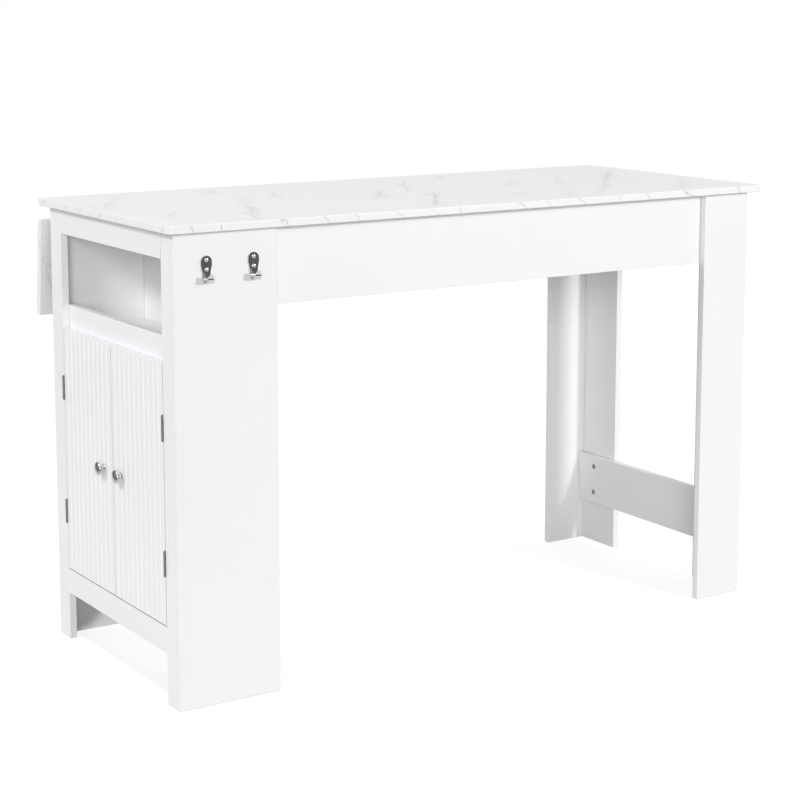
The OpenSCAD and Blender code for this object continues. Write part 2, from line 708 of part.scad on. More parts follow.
module door_back() color(paint) door(1);

// Mushroom knob on its screw
module knob(s) translate([xl, knob_y(s), door_mid_z]) rotate([0, -90, 0]) difference() {
    rotate_extrude() knob_profile();
    translate([0, 0, -tiny]) cylinder(d = knob_screw_d + 2 * hole_gap, h = knob_thread_l + tiny);
}
module knob_profile() {
    rim = 1;
    foot_r = 1;
    flare = 3;
    dome = knob_cap_t - 2 * rim;
    rim_z = knob_proj - dome;
    cap_r = knob_cap_d / 2;
    dome_r = (cap_r * cap_r + dome * dome) / (2 * dome);
    square([knob_foot_d / 2 - foot_r, knob_foot_t]);
    square([knob_foot_d / 2, knob_foot_t - foot_r]);
    translate([knob_foot_d / 2 - foot_r, knob_foot_t - foot_r]) circle(foot_r);
    square([knob_neck_d / 2, rim_z]);
    translate([0, rim_z - 2 * rim]) square([cap_r - rim, 2 * rim]);
    translate([cap_r - rim, rim_z - rim]) circle(rim);
    difference() {
        translate([0, rim_z - 2 * rim - flare]) square([knob_neck_d / 2 + flare, flare + tiny]);
        translate([knob_neck_d / 2 + flare, rim_z - 2 * rim - flare]) circle(flare);
    }
    intersection() {
        translate([0, knob_proj - dome_r]) circle(dome_r, $fn = 128);
        translate([0, rim_z - tiny]) square([cap_r - rim / 2, dome + 2 * tiny]);
    }
}
module knob_screw(s) {
    head_t = 2.5;
    end_gap = 1;
    bar([xl + door_t, knob_y(s), door_mid_z], [-1, 0, 0], knob_screw_d,
        door_t + knob_thread_l - end_gap);
    difference() {
        bar([xl + door_t, knob_y(s), door_mid_z], [1, 0, 0], knob_screw_d * 2, head_t);
        bar([xl + door_t + head_t / 2, knob_y(s), door_mid_z], [1, 0, 0], knob_screw_d * 0.6, head_t);
    }
}
module knob_front() color(nickel) knob(-1);
module knob_back() color(nickel) knob(1);
module knob_screw_front() color(zinc) knob_screw(-1);
module knob_screw_back() color(zinc) knob_screw(1);

// Butt hinges with proud barrels; side -s of the gap is the door's
mortise = 0.4;
mortise_open = 1;
leaf_play = 0.15;
knuckle_l = hinge_h / knuckle_n;
knuckle_gap = 0.2;
hinge_screw_l = 9;
hinge_screw_d = 2.4;
hinge_head_d = 4.4;
root_gap = 0.3;
root_lap = 1;
leaf_root = barrel_r + root_gap;
hinge_screw_zs = [-hinge_h * 0.34, 0, hinge_h * 0.34];
hinge_screw_x = xl + hinge_leaf_w / 2;

// The outer face of a hinge leaf, towards the wood: side is s for the stile and -s for the door
function seat_y(s, side) = hinge_y(s) + side * (door_gap / 2 + mortise);
module mortise_cut(s, side, z) {
    y = seat_y(s, side);
    translate([xl - tiny, min(y, y - side * mortise_open), z - hinge_h / 2 - leaf_play])
        cube([hinge_leaf_w + leaf_play + tiny, mortise_open, hinge_h + 2 * leaf_play]);
    for (dz = hinge_screw_zs)
        screw_hole([hinge_screw_x, y, z + dz], [0, side, 0], hinge_screw_l, hinge_screw_d);
}
module frame_mortise(s, z) mortise_cut(s, s, z);
module door_mortise(s, z) mortise_cut(s, -s, z);
module hinge_leaf(s, side, z, first) {
    y = seat_y(s, side);
    difference() {
        union() {
            translate([hinge_x + leaf_root, min(y, y - side * hinge_leaf_t), z - hinge_h / 2])
                cube([xl + hinge_leaf_w - hinge_x - leaf_root, hinge_leaf_t, hinge_h]);
            for (k = [first : 2 : knuckle_n - 1]) {
                z0 = z - hinge_h / 2 + k * knuckle_l + knuckle_gap / 2;
                translate([hinge_x, hinge_y(s), z0]) cylinder(r = barrel_r, h = knuckle_l - knuckle_gap);
                translate([hinge_x, min(y, y - side * hinge_leaf_t), z0])
                    cube([leaf_root + root_lap, hinge_leaf_t, knuckle_l - knuckle_gap]);
            }
        }
        translate([hinge_x, hinge_y(s), z - hinge_h / 2 - tiny])
            cylinder(d = hinge_pin_d + 2 * pin_gap, h = hinge_h + 2 * tiny);
        for (dz = hinge_screw_zs) {
            bar([hinge_screw_x, y - side * (hinge_leaf_t + tiny), z + dz], [0, side, 0],
                hinge_screw_d + 2 * hole_gap, hinge_leaf_t + 2 * tiny);
            hinge_sink(s, side, z + dz, hole_gap);
        }
    }
}
// The countersunk head of a hinge screw, flush with its leaf
module hinge_sink(s, side, z, gap) {
    y = seat_y(s, side);
    translate([hinge_screw_x, y - side * hinge_leaf_t, z]) rotate([-90 * side, 0, 0])
        cylinder(d1 = hinge_head_d + 2 * gap, d2 = hinge_screw_d + 2 * gap, h = hinge_leaf_t);
}
module hinge_screws(s, side) for (z = hinge_zs) for (dz = hinge_screw_zs) {
    bar([hinge_screw_x, seat_y(s, side) - side * hinge_leaf_t / 2, z + dz], [0, side, 0], hinge_screw_d,
        hinge_screw_l + hinge_leaf_t / 2);
    hinge_sink(s, side, z + dz, 0);
}
module hinge_frame_leaves() color(nickel)
    for (s = [-1, 1]) for (z = hinge_zs) hinge_leaf(s, s, z, 0);
module hinge_leaves_front() color(nickel) for (z = hinge_zs) hinge_leaf(-1, 1, z, 1);
module hinge_leaves_back() color(nickel) for (z = hinge_zs) hinge_leaf(1, -1, z, 1);
module hinge_frame_screws() color(nickel) for (s = [-1, 1]) hinge_screws(s, s);
module hinge_screws_front() color(nickel) hinge_screws(-1, 1);
module hinge_screws_back() color(nickel) hinge_screws(1, -1);
module hinge_pins() color(nickel) for (s = [-1, 1]) for (z = hinge_zs)
    translate([hinge_x, hinge_y(s), z]) {
        cylinder(d = hinge_pin_d, h = hinge_h, center = true);
        for (m = [0, 1]) mirror([0, 0, m]) translate([0, 0, hinge_h / 2]) intersection() {
            sphere(hinge_pin_d);
            cylinder(r = 2 * hinge_pin_d, h = hinge_pin_d);
        }
    }

// Double magnetic catch under the niche floor, and a strike plate on each door
strike_gap = 0.3;
catch_x0 = panel_x0 + strike_t + strike_gap;
catch_screw_end = 5;
catch_floor = 3;
catch_screw_x = catch_x0 + catch_d * 0.65;
catch_screw_ys = [for (s = [-1, 1]) ym + s * (catch_w / 2 - catch_screw_end)];
catch_z0 = niche_z - board_t - catch_h;
magnet_l = 5;
strike_z = catch_z0 + catch_h / 2;
strike_rim = 1;
strike_tail = 6;
strike_h = catch_h + strike_tail;
strike_screw_dz = catch_h / 2;
function strike_y(s) = ym + s * magnet_off;
module catch_housing() color(white_plastic) difference() {
    translate([catch_x0, ym - catch_w / 2, catch_z0]) cube([catch_d, catch_w, catch_h]);
    for (s = [-1, 1]) bar([catch_x0 - tiny, strike_y(s), strike_z], [1, 0, 0], magnet_d + 2 * hole_gap,
        magnet_l + hole_gap + tiny);
    for (y = catch_screw_ys) {
        bar([catch_screw_x, y, catch_z0 - tiny], [0, 0, 1], screw_head_d + 2 * hole_gap,
            catch_h - catch_floor + tiny);
        bar([catch_screw_x, y, catch_z0], [0, 0, 1], screw_d + 2 * hole_gap, catch_h + tiny);
    }
}
module catch_magnets() color(dark_steel) for (s = [-1, 1])
    bar([catch_x0, strike_y(s), strike_z], [1, 0, 0], magnet_d, magnet_l);
module catch_screws() color(zinc) for (y = catch_screw_ys)
    wood_screw([catch_screw_x, y, niche_z - board_t - catch_floor], [0, 0, 1]);
module strike(s) {
    difference() {
        translate([panel_x0, strike_y(s) - magnet_d / 2 - strike_rim,
            strike_z - strike_h / 2 - strike_tail / 2])
            cube([strike_t, magnet_d + 2 * strike_rim, strike_h]);
        bar([panel_x0 - tiny, strike_y(s), strike_z - strike_screw_dz], [1, 0, 0],
            screw_d + 2 * hole_gap, strike_t + 2 * tiny);
    }
    wood_screw([panel_x0 + strike_t, strike_y(s), strike_z - strike_screw_dz], [-1, 0, 0],
        head_h = strike_gap / 2, l = screw_l);
}
module strike_front() color(zinc) strike(-1);
module strike_back() color(zinc) strike(1);

// Coat hooks: one bent strip each, plate at the top, cup at the bottom
hook_places = [panel_x0 + hook_edge, panel_x0 + hook_edge + hook_pitch];
hook_top = under_top - hook_drop;
hook_screw_drop = 8;
hook_taper_top = 6;
hook_taper_end = 4;
hook_over = 2;
hook_screw_z = hook_top - hook_screw_drop;
hook_bend_r = (hook_reach - hook_flare - hook_t) / 2;
module coat_hook(x) translate([x, yf, hook_top]) {
    difference() {
        intersection() {
            rotate([90, 0, -90]) translate([0, 0, -hook_plate_w / 2])
                linear_extrude(hook_plate_w) hook_side();
            rotate([90, 0, 0]) translate([0, 0, -tiny])
                linear_extrude(hook_bend_r + hook_t / 2 + tiny) hook_front();
        }
        for (dz = [0, -hook_screw_pitch])
            bar([0, tiny, hook_screw_z - hook_top + dz], [0, -1, 0], screw_d + 2 * hole_gap,
                hook_t + 2 * tiny);
    }
    intersection() {
        rotate([90, 0, -90]) translate([0, 0, -hook_plate_w / 2])
            linear_extrude(hook_plate_w) hook_side();
        rotate([90, 0, 0]) translate([0, 0, hook_bend_r + hook_t / 2 - tiny])
            linear_extrude(hook_reach) hook_tip_front();
    }
}
// The hook's path seen from the cabinet end: x is the distance from the panel, y is the height
hook_low = -hook_plate_h - hook_cup + hook_over;
module hook_side() {
    cy = hook_low + hook_bend_r + hook_t / 2;
    translate([0, cy]) square([hook_t, -cy]);
    intersection() {
        translate([hook_bend_r + hook_t / 2, cy]) difference() {
            circle(hook_bend_r + hook_t / 2);
            circle(hook_bend_r - hook_t / 2);
        }
        translate([0, hook_low]) square([hook_reach, hook_bend_r + hook_t / 2]);
    }
    finger_x = hook_reach - hook_flare;
    finger_top = hook_low + hook_cup;
    polygon([[finger_x - hook_t, cy - tiny], [finger_x, cy - tiny], [hook_reach, finger_top],
        [hook_reach - hook_t, finger_top]]);
}
// The plate's outline seen from the front
module hook_front() {
    r = hook_plate_w / 2;
    translate([0, -r]) circle(r);
    w = hook_strip_w / 2;
    taper_z = -hook_plate_h + hook_taper_end;
    polygon([[-r, -r], [r, -r], [r, -r - hook_taper_top], [w, taper_z], [w, hook_low - tiny],
        [-w, hook_low - tiny], [-w, taper_z], [-r, -r - hook_taper_top]]);
}
module hook_tip_front() {
    r = hook_tip_w / 2;
    translate([0, hook_low + hook_cup - r]) circle(r);
    w = hook_strip_w / 2;
    polygon([[-w, hook_low - tiny], [w, hook_low - tiny], [w, hook_low + hook_t],
        [r, hook_low + hook_cup - r], [-r, hook_low + hook_cup - r], [-w, hook_low + hook_t]]);
}
module coat_hooks() color(dark_steel) for (x = hook_places) coat_hook(x);
module hook_screws() color(nickel) for (x = hook_places) for (dz = [0, -hook_screw_pitch])
    wood_screw([x, yf - hook_t, hook_screw_z + dz], [0, 1, 0], head_d = hook_head_d);

// Folding leaf brackets, drawn about the pivot: y away from the table and z up
leaf_arm_w = wall_arm_w - 2 * (sheet_t + arm_gap);
ear_gap = 1;
top_gap = 3;
slot_play = 0.5;
arm_root = 1;
arm_nose_l = 12;
arm_nose_h = 6;
pivot_head_t = 1.5;
strut_edge = 1.8;
ear_r = pivot_drop - ear_gap;
arm_top = pivot_drop - top_gap;
foot_drop = sqrt(strut_b * strut_b - strut_q * strut_q);
foot_rest = strut_q * sin(swing) + sqrt(strut_b * strut_b - pow(strut_q * cos(swing), 2));
strut_rest_angle = acos(-strut_q * cos(swing) / strut_b);
leaf_screw_in = 13;
leaf_screw_out = 20;
leaf_screw_pitch = 50;
wall_screw_in = 22;
wall_screw_pitch = 52;
leaf_screw_rs = [leaf_r0 + leaf_screw_in, leaf_arm_l - leaf_screw_out - leaf_screw_pitch,
    leaf_arm_l - leaf_screw_out];
wall_screw_zs = [for (i = [0 : 2]) -wall_screw_in - i * wall_screw_pitch];
module at_brackets() for (x = bracket_xs) translate([x, pivot_y, pivot_z]) children();
module side_profile(w0, w1) rotate([90, 0, 90]) translate([0, 0, w0]) linear_extrude(w1 - w0) children();

module wall_arm() difference() {
    union() {
        translate([-wall_arm_w / 2, -pivot_out, arm_top - wall_arm_l])
            cube([wall_arm_w, sheet_t, wall_arm_l]);
        for (m = [0, 1]) mirror([m, 0, 0])
            side_profile(wall_arm_w / 2 - sheet_t, wall_arm_w / 2) wall_cheek();
    }
    bar([-wall_arm_w / 2 - tiny, 0, 0], [1, 0, 0], arm_pin_d + 2 * pin_gap, wall_arm_w + 2 * tiny);
    for (z = wall_screw_zs) bar([0, -pivot_out - tiny, z], [0, 1, 0], screw_d + 2 * hole_gap,
        sheet_t + 2 * tiny);
}
// A cheek with the slot in which the strut's foot slides, and the notch that holds it up
module wall_cheek() {
    slot_w = arm_pin_d + 2 * slot_play;
    difference() {
        union() {
            translate([-pivot_out, arm_top - wall_arm_l + ear_r])
                square([pivot_out + ear_r, wall_arm_l - ear_r - arm_top]);
            translate([-pivot_out, arm_top - wall_arm_l]) square([pivot_out, 2 * ear_r]);
            translate([0, arm_top - wall_arm_l + ear_r]) circle(ear_r);
            intersection() {
                translate([-pivot_out, 0]) square([pivot_out + ear_r, arm_top]);
                union() {
                    circle(ear_r);
                    translate([-pivot_out, 0]) square([pivot_out, arm_top]);
                }
            }
        }
        translate([-slot_w / 2, -foot_rest]) square([slot_w, foot_rest - foot_drop]);
        translate([0, -foot_rest]) circle(slot_w / 2);
        translate([0, -foot_drop]) circle(slot_w / 2);
        translate([-slot_w, -foot_drop - slot_w / 2]) square([slot_w, slot_w]);
        translate([-slot_w, -foot_drop]) circle(slot_w / 2);
    }
}
module wall_arms() color(zinc) at_brackets() wall_arm();
module wall_arm_screws() color(zinc) at_brackets() for (z = wall_screw_zs)
    wood_screw([0, -pivot_out + sheet_t, z], [0, -1, 0]);
module pivot_pins() color(nickel) at_brackets() {
    bar([-wall_arm_w / 2, 0, 0], [1, 0, 0], arm_pin_d, wall_arm_w);
    for (m = [-1, 1]) bar([m * wall_arm_w / 2, 0, 0], [m, 0, 0], arm_pin_d * 1.8, pivot_head_t);
}

module at_leaf_brackets() hung() for (x = bracket_xs) translate([x, 0, 0]) children();
module leaf_arm() {
    root = leaf_r0 + arm_root;
    low = pivot_drop - leaf_arm_d;
    difference() {
        union() {
            translate([-leaf_arm_w / 2, root, pivot_drop - sheet_t])
                cube([leaf_arm_w, leaf_arm_l - root, sheet_t]);
            for (m = [0, 1]) mirror([m, 0, 0])
                side_profile(leaf_arm_w / 2 - sheet_t, leaf_arm_w / 2) {
                    circle(ear_r);
                    translate([0, -ear_r]) square([root, 2 * ear_r]);
                    polygon([[root - tiny, pivot_drop], [root - tiny, -ear_r],
                        [leaf_arm_l - arm_nose_l, low], [leaf_arm_l, low + arm_nose_h],
                        [leaf_arm_l, pivot_drop]]);
                }
        }
        bar([-leaf_arm_w / 2 - tiny, 0, 0], [1, 0, 0], arm_pin_d + 2 * pin_gap, leaf_arm_w + 2 * tiny);
        bar([-leaf_arm_w / 2 - tiny, strut_q, 0], [1, 0, 0], arm_pin_d + 2 * pin_gap,
            leaf_arm_w + 2 * tiny);
        for (r = leaf_screw_rs) bar([0, r, pivot_drop - sheet_t - tiny], [0, 0, 1],
            screw_d + 2 * hole_gap, sheet_t + 2 * tiny);
    }
}
module leaf_arms() color(zinc) at_leaf_brackets() leaf_arm();
module leaf_arm_screws() color(zinc) at_leaf_brackets() for (r = leaf_screw_rs)
    wood_screw([0, r, pivot_drop - sheet_t], [0, 0, 1]);
module strut_pins() color(nickel) at_leaf_brackets()
    bar([-leaf_arm_w / 2, strut_q, 0], [1, 0, 0], arm_pin_d, leaf_arm_w);

// A strut hangs from its upper pin; its own y runs to its foot
module at_struts() at_brackets()
    translate([0, strut_q * cos(swing), -strut_q * sin(swing)])
        rotate([-strut_rest_angle, 0, 0]) children();
strut_r = arm_pin_d / 2 + strut_edge;
module strut() difference() {
    side_profile(-strut_w / 2, strut_w / 2) {
        translate([0, -strut_r]) square([strut_b, 2 * strut_r]);
        circle(strut_r);
        translate([strut_b, 0]) circle(strut_r);
    }
    translate([-strut_w / 2 + sheet_t, 2 * strut_r, -strut_r + sheet_t])
        cube([strut_w - 2 * sheet_t, strut_b - 4 * strut_r, 2 * strut_r]);
    for (y = [0, strut_b]) bar([-strut_w / 2 - tiny, y, 0], [1, 0, 0], arm_pin_d + 2 * pin_gap,
        strut_w + 2 * tiny);
}
module struts() color(zinc) at_struts() strut();
module foot_pins() color(nickel) at_struts()
    bar([-leaf_arm_w / 2, strut_b, 0], [1, 0, 0], arm_pin_d, leaf_arm_w);

table_top();
drop_leaf();
left_front_panel();
left_back_panel();
front_stile();
back_stile();
top_rail();
niche_lip();
bottom_rail();
cabinet_divider();
niche_floor();
cabinet_floor();
inner_shelf();
shelf_pins();
front_apron();
back_apron();
right_end_rail();
front_leg_plate();
front_leg_return();
back_leg_plate();
back_leg_return();
stretcher();
stretcher_bolts();
stretcher_inserts();
wood_dowels();
cam_locks();
cam_bolts();
top_clips();
top_clip_screws();
door_front();
door_back();
knob_front();
knob_back();
knob_screw_front();
knob_screw_back();
hinge_frame_leaves();
hinge_frame_screws();
hinge_pins();
hinge_leaves_front();
hinge_leaves_back();
hinge_screws_front();
hinge_screws_back();
catch_housing();
catch_magnets();
catch_screws();
strike_front();
strike_back();
coat_hooks();
hook_screws();
wall_arms();
wall_arm_screws();
pivot_pins();
leaf_arms();
leaf_arm_screws();
struts();
strut_pins();
foot_pins();
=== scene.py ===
"""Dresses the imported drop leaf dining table: finishes, finer hardware, light and camera.

Everything is in metres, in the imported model's own frame: +Z up, +X from the cabinet end to the
leg end, +Y towards the drop leaf, with the origin on the floor.
"""

from __future__ import annotations

import json
import logging
import math
from dataclasses import dataclass, field
from enum import Enum
from typing import Iterable, Sequence, Tuple

import bmesh
import bpy
from mathutils import Matrix, Vector

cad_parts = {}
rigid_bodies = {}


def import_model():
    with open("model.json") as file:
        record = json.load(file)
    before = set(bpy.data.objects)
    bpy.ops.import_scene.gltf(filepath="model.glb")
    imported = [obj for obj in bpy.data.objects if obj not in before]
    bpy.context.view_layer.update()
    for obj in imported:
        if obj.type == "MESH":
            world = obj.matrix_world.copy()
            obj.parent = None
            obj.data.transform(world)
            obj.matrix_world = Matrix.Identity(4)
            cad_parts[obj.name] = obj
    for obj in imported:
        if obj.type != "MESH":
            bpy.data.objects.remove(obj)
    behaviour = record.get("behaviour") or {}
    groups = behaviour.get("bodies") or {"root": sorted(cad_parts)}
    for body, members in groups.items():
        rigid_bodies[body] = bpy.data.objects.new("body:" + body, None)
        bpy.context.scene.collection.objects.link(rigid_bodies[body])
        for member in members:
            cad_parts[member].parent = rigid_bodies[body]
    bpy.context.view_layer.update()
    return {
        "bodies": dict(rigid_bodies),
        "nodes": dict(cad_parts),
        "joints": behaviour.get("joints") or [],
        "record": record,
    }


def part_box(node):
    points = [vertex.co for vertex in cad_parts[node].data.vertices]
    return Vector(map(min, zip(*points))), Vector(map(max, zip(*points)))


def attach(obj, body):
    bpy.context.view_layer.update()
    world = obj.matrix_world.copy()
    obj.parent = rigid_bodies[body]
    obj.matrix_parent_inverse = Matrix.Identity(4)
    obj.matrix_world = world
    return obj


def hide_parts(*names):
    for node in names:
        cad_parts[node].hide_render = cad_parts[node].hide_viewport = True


LOG = logging.getLogger("dining_table")

Colour = Tuple[float, float, float]
Point = Tuple[float, float, float]
Profile = Sequence[Tuple[float, float]]
Socket = bpy.types.NodeSocket
Sockets = bpy.types.bpy_prop_collection
Object = bpy.types.Object
Material = bpy.types.Material

NUMBER = "NodeSocketFloat"
VECTOR = "NodeSocketVector"
WHITE: Colour = (1.0, 1.0, 1.0)


class Drive(Enum):
    """The recess that a fastener's head is turned by."""

    CROSS = "cross"
    HEX = "hex"


class Facing(Enum):
    """The direction in which a small fitting stands away from its board."""

    CABINET_END = (-1.0, 0.0, 0.0)
    FRONT = (0.0, -1.0, 0.0)

    @property
    def turn(self) -> Matrix:
        """The rotation that takes +Z to this direction."""
        turn = Vector((0.0, 0.0, 1.0)).rotation_difference(Vector(self.value))
        return turn.to_matrix().to_4x4()


class ShaderGraph:
    """A node tree with short typed calls to add nodes and to join them."""

    def __init__(self, tree: bpy.types.NodeTree) -> None:
        """Keeps the tree that the calls work on."""
        self.tree = tree

    @classmethod
    def emptied(cls, owner: bpy.types.ID) -> ShaderGraph:
        """Removes the nodes that a material, lamp or world starts with.

        Args:
            owner: The material, lamp or world.

        Returns:
            Its empty graph.
        """
        owner.use_nodes = True
        owner.node_tree.nodes.clear()
        return cls(owner.node_tree)

    def feed(self, target: Socket, value: object) -> None:
        """Links or sets one input.

        Args:
            target: The input.
            value: The socket to link, or a number, a vector or a colour.
        """
        if isinstance(value, Socket):
            self.tree.links.new(value, target)
        elif target.type == "RGBA":
            target.default_value = (*value, 1.0)
        else:
            target.default_value = value

    def add(self, kind: str, **values: object) -> bpy.types.Node:
        """Adds a node.

        Args:
            kind: The node's type name.
            **values: Its properties, and its inputs, whose names start with a capital and have _
                for a space.

        Returns:
            The new node.
        """
        node = self.tree.nodes.new(kind)
        for name, value in values.items():
            if name[0].isupper():
                self.feed(node.inputs[name.replace("_", " ")], value)
            else:
                setattr(node, name, value)
        return node

    def fill(self, kind: str, *values: object, **settings: object) -> Socket:
        """Adds a node and fills its inputs in their own order.

        Args:
            kind: The node's type name.
            *values: Numbers, vectors or sockets for the inputs.
            **settings: Properties of the node, by name.

        Returns:
            The node's first output.
        """
        node = self.add(kind, **settings)
        for target, value in zip(node.inputs, values):
            self.feed(target, value)
        return node.outputs[0]

    def math(self, operation: str, *values: object) -> Socket:
        """Returns the result of a Math node on numbers or sockets."""
        return self.fill("ShaderNodeMath", *values, operation=operation)

    def axes(self, vector: Socket) -> Tuple[Socket, ...]:
        """Returns the X, Y and Z of a vector."""
        return tuple(self.add("ShaderNodeSeparateXYZ", Vector=vector).outputs)

    def step(self, value: Socket, low: float, high: float, to_low: object = 0.0,
             to_high: object = 1.0) -> Socket:
        """Maps a value smoothly from one range to another.

        Args:
            value: The socket to map.
            low: The value that becomes to_low.
            high: The value that becomes to_high.
            to_low: The result at low, a number or a socket.
            to_high: The result at high, a number or a socket.

        Returns:
            The mapped socket.
        """
        node = self.add("ShaderNodeMapRange", interpolation_type="SMOOTHSTEP", Value=value,
                        From_Min=low, From_Max=high, To_Min=to_low, To_Max=to_high)
        return node.outputs["Result"]

    def noise(self, vector: Socket, scale: object, detail: float = 2.0,
              roughness: float = 0.5) -> Socket:
        """Adds a noise texture.

        Args:
            vector: The coordinates that it reads.
            scale: Its scale, a number or a socket.
            detail: Its number of octaves.
            roughness: How strong the finer octaves are.

        Returns:
            The noise's value.
        """
        node = self.add("ShaderNodeTexNoise", Vector=vector, Scale=scale, Detail=detail,
                        Roughness=roughness)
        return node.outputs["Fac"]

    def mix(self, share: Socket, first: object, second: object) -> Socket:
        """Mixes two colours.

        Args:
            share: How much of the second colour shows.
            first: A colour, or the socket that gives one.
            second: A colour, or the socket that gives one.

        Returns:
            The mixed colour's socket.
        """
        node = self.add("ShaderNodeMix", data_type="RGBA", Factor=share)
        for target, value in zip([s for s in node.inputs if s.type == "RGBA"], (first, second)):
            self.feed(target, value)
        return next(s for s in node.outputs if s.type == "RGBA")


class EffectGroup:
    """A shader node group with named inputs and outputs, built once."""

    def __init__(self, name: str, inputs: dict[str, str], outputs: dict[str, str]) -> None:
        """Makes the group's tree with its sockets.

        Args:
            name: The group's name.
            inputs: The socket type of each input, by name.
            outputs: The socket type of each output, by name.
        """
        self.tree = bpy.data.node_groups.new(name, "ShaderNodeTree")
        self.graph = ShaderGraph(self.tree)
        for way, sockets in (("INPUT", inputs), ("OUTPUT", outputs)):
            for label, kind in sockets.items():
                self.tree.interface.new_socket(name=label, in_out=way, socket_type=kind)
        self.entry = self.graph.add("NodeGroupInput")
        self.exit = self.graph.add("NodeGroupOutput")

    def given(self, name: str) -> Socket:
        """Returns one of the group's inputs, as its own nodes see it."""
        return self.entry.outputs[name]

    def give(self, **values: Socket) -> EffectGroup:
        """Links the group's outputs.

        Args:
            **values: The socket for each output, by name.

        Returns:
            The group.
        """
        for name, value in values.items():
            self.graph.feed(self.exit.inputs[name], value)
        return self

    def place(self, graph: ShaderGraph, **values: object) -> Sockets:
        """Places the group in a material.

        Args:
            graph: The material's graph.
            **values: Numbers, vectors or sockets for the inputs.

        Returns:
            The placed group's outputs, by name.
        """
        return graph.add("ShaderNodeGroup", node_tree=self.tree, **values).outputs


class Effects:
    """The effects that more than one finish uses."""

    def __init__(self) -> None:
        """Builds every group once."""
        self.tone = self._build_tone()
        self.relief = self._build_relief()
        self.brushing = self._build_brushing()
        self.veins = self._build_veins()
        self.stroke = self._build_stroke()

    @staticmethod
    def _build_tone() -> EffectGroup:
        """Returns a group that spreads a value softly over a surface."""
        group = EffectGroup("Soft Tone", {"Vector": VECTOR, "Scale": NUMBER, "Low": NUMBER,
                                          "High": NUMBER}, {"Value": NUMBER})
        g = group.graph
        noise = g.noise(group.given("Vector"), group.given("Scale"), 4.0, 0.55)
        return group.give(Value=g.step(noise, 0.3, 0.7, group.given("Low"), group.given("High")))

    @staticmethod
    def _build_relief() -> EffectGroup:
        """Returns a group that gives a sprayed or moulded surface its fine waviness."""
        group = EffectGroup("Fine Relief", {"Vector": VECTOR, "Scale": NUMBER, "Strength": NUMBER,
                                            "Distance": NUMBER}, {"Normal": VECTOR})
        g = group.graph
        bump = g.add("ShaderNodeBump", Height=g.noise(group.given("Vector"), group.given("Scale")),
                     Strength=group.given("Strength"), Distance=group.given("Distance"))
        return group.give(Normal=bump.outputs["Normal"])

    @staticmethod
    def _build_brushing(grain: Point = (160.0, 160.0, 2600.0)) -> EffectGroup:
        """Returns a group that gives metal its fine directional scratches.

        Args:
            grain: How finely the scratches repeat along each axis.

        Returns:
            The group.
        """
        group = EffectGroup("Brushed Metal", {"Vector": VECTOR, "Low": NUMBER, "High": NUMBER},
                            {"Roughness": NUMBER, "Normal": VECTOR})
        g = group.graph
        stretch = g.add("ShaderNodeMapping", Vector=group.given("Vector"), Scale=grain)
        noise = g.noise(stretch.outputs["Vector"], 1.0, 3.0, 0.6)
        spread = g.add("ShaderNodeMapRange", Value=noise, To_Min=group.given("Low"),
                       To_Max=group.given("High"))
        bump = g.add("ShaderNodeBump", Height=noise, Strength=0.12, Distance=0.00005)
        return group.give(Roughness=spread.outputs["Result"], Normal=bump.outputs["Normal"])

    @staticmethod
    def _build_veins(bend: Point = (0.16, 0.16, 0.0)) -> EffectGroup:
        """Returns a group that draws warped hair-thin veins in a soft cloud.

        Args:
            bend: How far the noise shifts the veins along each axis.

        Returns:
            The group.
        """
        group = EffectGroup("Stone Veins", {"Vector": VECTOR, "Scale": NUMBER, "Width": NUMBER},
                            {"Line": NUMBER, "Cloud": NUMBER})
        g = group.graph
        source = group.given("Vector")
        warp = g.add("ShaderNodeTexNoise", Vector=source, Scale=7.0, Detail=4.0, Roughness=0.6)
        bent = g.fill("ShaderNodeVectorMath", warp.outputs["Color"], bend, source,
                      operation="MULTIPLY_ADD")
        stone = g.noise(bent, group.given("Scale"), 5.0, 0.62)
        away = g.math("ABSOLUTE", g.math("SUBTRACT", stone, 0.5))
        share = g.math("DIVIDE", away, group.given("Width"))
        cloud = g.noise(bent, 5.0, 5.0, 0.6)
        return group.give(Line=g.step(share, 0.0, 1.0, 1.0, 0.0), Cloud=g.step(cloud, 0.42, 0.75))

    @staticmethod
    def _build_stroke() -> EffectGroup:
        """Returns a group that draws one vein of the stone: a hair line in a soft halo."""
        placing = ("Vector", "Location", "Rotation", "Scale")
        group = EffectGroup("Vein Stroke", {**dict.fromkeys(placing, VECTOR), "Wobble": NUMBER,
                                            "Strength": NUMBER}, {"Line": NUMBER, "Near": NUMBER})
        g = group.graph
        local = g.add("ShaderNodeMapping", vector_type="TEXTURE",
                      **{name: group.given(name) for name in placing})
        x, y, _ = g.axes(local.outputs["Vector"])
        along = g.step(g.math("ABSOLUTE", x), 0.35, 1.0, 1.0, 0.0)
        across = g.math("ABSOLUTE", g.math("ADD", y, group.given("Wobble")))
        hair = g.step(across, 0.03, 0.2, 1.0, 0.0)
        halo = g.step(across, 0.0, 1.1, 0.3, 0.0)
        near = g.step(across, 0.5, 2.6, 1.0, 0.0)
        strong = g.math("MULTIPLY", along, group.given("Strength"))
        return group.give(Line=g.math("MULTIPLY", g.math("MAXIMUM", hair, halo), strong),
                          Near=g.math("MULTIPLY", near, strong))


